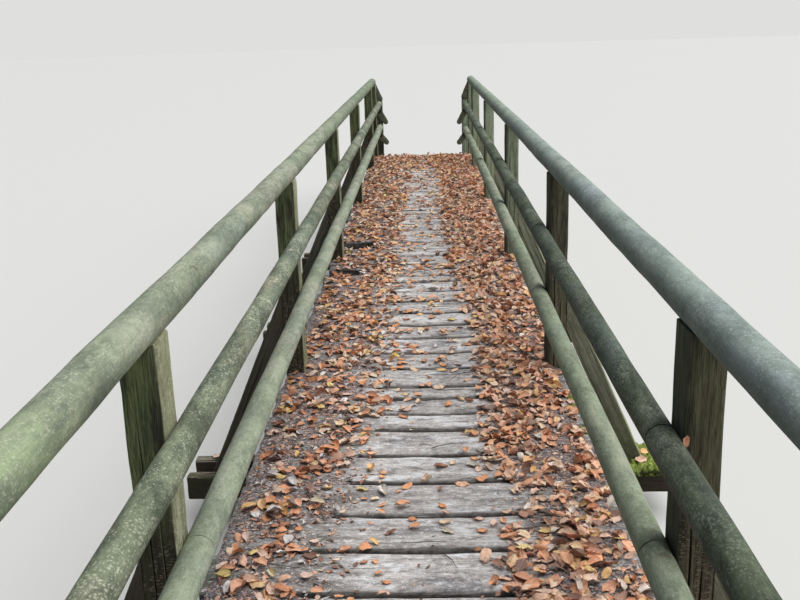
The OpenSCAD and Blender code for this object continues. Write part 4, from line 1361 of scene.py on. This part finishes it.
def nearest_leaves(strips):
    """The read leaves, each where its line of sight meets the deck. Rounding to the millimetre
    and the degree is finer than the reading."""
    right, down, size, turn, tint_share, roll = read_leaves.T
    pixel_x = close_look_corner[0] + right / enlarged - view_width / 2
    pixel_y = close_look_corner[1] + down / enlarged - view_height / 2
    sight = np.outer(pixel_x, view_right) - np.outer(pixel_y, view_up)
    sight = np.array(ahead) + sight / focal_length
    above = eye.z - deck_top - lying_height
    distance = -above / sight[:, 2]
    x, y, _ = (np.array(eye) + sight * distance[:, None]).T
    foreshortened = np.sin(np.arctan2(above, y - eye.y))
    flat_x, flat_y = np.cos(np.radians(turn)), np.sin(np.radians(turn))
    length = size / enlarged * distance / focal_length / np.hypot(flat_x, foreshortened * flat_y)
    length = np.minimum(length, longest_leaf) / with_stalk
    x, y, length = np.round((x, y, length), 3)
    turn = np.round(np.degrees(np.arctan2(flat_y / foreshortened, flat_x)))
    on_humus = x < -0.25
    z = deck_top + 0.002 - litter_dip * tread(x) + 0.006 * on_humus
    count = len(x)
    draw = np.random.default_rng(18)
    return leaf_skins(np.stack([x, y, z], -1), length, length * draw.uniform(0.52, 0.7, count),
                      np.radians(turn), roll, draw.choice([-1, 1], count) * 0.4,
                      draw.normal(0, 0.10, (count, 2)), tint_share, near_leaf, strips, draw)


# Lowest and highest tint of each kind of leaf or crumb, and how common it is.
leaf_colours = [
    (0.0, 0.10, 6), (0.10, 0.22, 9), (0.22, 0.36, 17), (0.36, 0.50, 22), (0.50, 0.62, 18),
    (0.62, 0.74, 17), (0.74, 0.84, 15), (0.86, 0.91, 2), (0.94, 1.0, 9)]
crumb_colours = [
    (0.0, 0.12, 26), (0.12, 0.3, 20), (0.36, 0.5, 12), (0.5, 0.66, 24), (0.66, 0.76, 10),
    (0.94, 1.0, 16)]
litter_cuts = (deck_start + 0.02, -5.2, -3.45, -1.6, 0.3, 2.4, 4.6, deck_stop - 0.02)
leaf_shapes = (far_leaf, far_leaf, near_leaf, plain_leaf, plain_leaf, plain_leaf, far_leaf)
for number, shape in enumerate(leaf_shapes):
    cuts = litter_cuts[number:number + 2]
    near = shape is near_leaf
    strips, crumbs_to_the_metre = (4, 1000) if near else (2, 560)
    parts = [litter(*cuts, 800 + number, 900, (0.037, 0.068), leaf_colours, (0.05, 1.5), 0.0023,
                    shape, strips, litter_depth),
             litter(*cuts, 850 + number, crumbs_to_the_metre, (0.009, 0.030), crumb_colours,
                    (0.05, 1.2), 0.0010, crumb_shape, 2, crumb_depth)]
    if near:
        parts.append(nearest_leaves(strips))
    join(f"leaf_litter_{number + 1}", parts, dry_leaf, sharp=60)


# Twigs: thin beech twigs lie among the leaves, bent and forked, where the litter is thick. Their
# bark is grey brown like the litter.
bark = Coats("twig_bark", roughness=0.85)
flaking = noise(bark.grain, 0.004, 3, 0.6, (3, 1, 1))
bark.colour = mix(step(flaking, 0.36, 0.62), (0.055, 0.040, 0.032), (0.22, 0.18, 0.15))
twig_bark = bark.finish(flaking, 0.0005)


def twig(start, turn, length, thick, seed, bow):
    """A bent tapering twig on the deck, from start in the direction of turn."""
    around = 6
    t = np.linspace(0, 1, 9)[:, None]
    angle = np.linspace(0, 2 * np.pi, around, endpoint=False)
    side = bow * length * np.sin(np.pi * t) + 0.02 * length * wobble(t, 0.4, seed)[:, None]
    lift = 0.004 + 0.25 * abs(bow) * length * np.sin(np.pi * t) ** 2
    radius = thick * (1 - 0.6 * t)
    rings = np.stack([np.repeat(t * length, around, 1), side + radius * np.cos(angle),
                      lift + radius * np.sin(angle)], -1)
    return skin(rings, {"worn": np.zeros(rings.shape[:2])}, start,
                (math.cos(turn), math.sin(turn), 0), along_z, seed)


def depth_at(x, y):
    """How thick the litter lies at one place."""
    return litter_depth(np.array([x]), np.array([y]))[0]


draw = np.random.default_rng(77)
twig_places = [(x, y, math.radians(turn), length) for x, y, turn, length in (
    (-0.425, -2.366, -77, 0.35), (0.05, -2.93, -65, 0.10), (-0.55, -2.95, -20, 0.16),
    (0.30, -2.80, 15, 0.30), (-0.12, -1.75, 20, 0.12), (0.02, -2.15, 25, 0.11))]
while len(twig_places) < 90:
    x, y = draw.uniform(-0.6, 0.6), draw.uniform(deck_start + 0.3, deck_stop - 0.4)
    if depth_at(x, y) > 0.45:
        twig_places.append((x, y, draw.uniform(0, 2 * np.pi), draw.uniform(0.06, 0.22)))
twigs = []
for number, (x, y, turn, length) in enumerate(twig_places):
    bow = draw.uniform(-0.12, 0.12)
    z = deck_top + 0.002 + 0.006 * (depth_at(x, y) > 0.6)
    end = np.array([x + length * math.cos(turn), y + length * math.sin(turn)])
    if abs(end[0]) > 0.64:
        continue
    twigs.append(twig((x, y, z), turn, length, 0.0020 + 0.004 * length, 900 + number, bow))
    if number % 3 == 0:
        fork = np.array([x, y]) + (end - (x, y)) * 0.45
        fork += bow * length * np.array([-math.sin(turn), math.cos(turn)])
        twigs.append(twig((*fork, z + 0.001), turn + 0.6, 0.4 * length, 0.0018, 950 + number,
                          0.05))
join("litter_twigs", twigs, twig_bark, sharp=60)

# Caught leaves: two leaves have come to rest on the mossy end of one transom, one on its other
# end, and one leans against a post on the right.
caught_leaves = np.array([      # place, length, width, turn, roll, arch, tilt twice, tint
    (1.066, -1.262, plank_top + 0.024, 0.066, 0.048, 0.2, 0.4, 0.3, 0.1, 0.45, 0.56),
    (1.103, -1.172, plank_top + 0.022, 0.056, 0.038, 0.5, 0.4, -0.3, -0.1, 0.35, 0.83),
    (-1.106, -1.085, plank_top + 0.001, 0.055, 0.036, 0.4, 0.5, 0.4, 0.05, 0.0, 0.74),
    (0.596, -3.612, deck_top + 0.675, 0.030, 0.018, 1.6, 0.3, 0.2, 1.25, 0.3, 0.33)])
length, width, turn, roll, arch = caught_leaves[:, 3:8].T
caught = leaf_skins(caught_leaves[:, :3], length, width, turn, roll, arch, caught_leaves[:, 8:10],
                    caught_leaves[:, 10], near_leaf, 4, np.random.default_rng(5))
join("caught_leaves", [caught], dry_leaf, sharp=60)
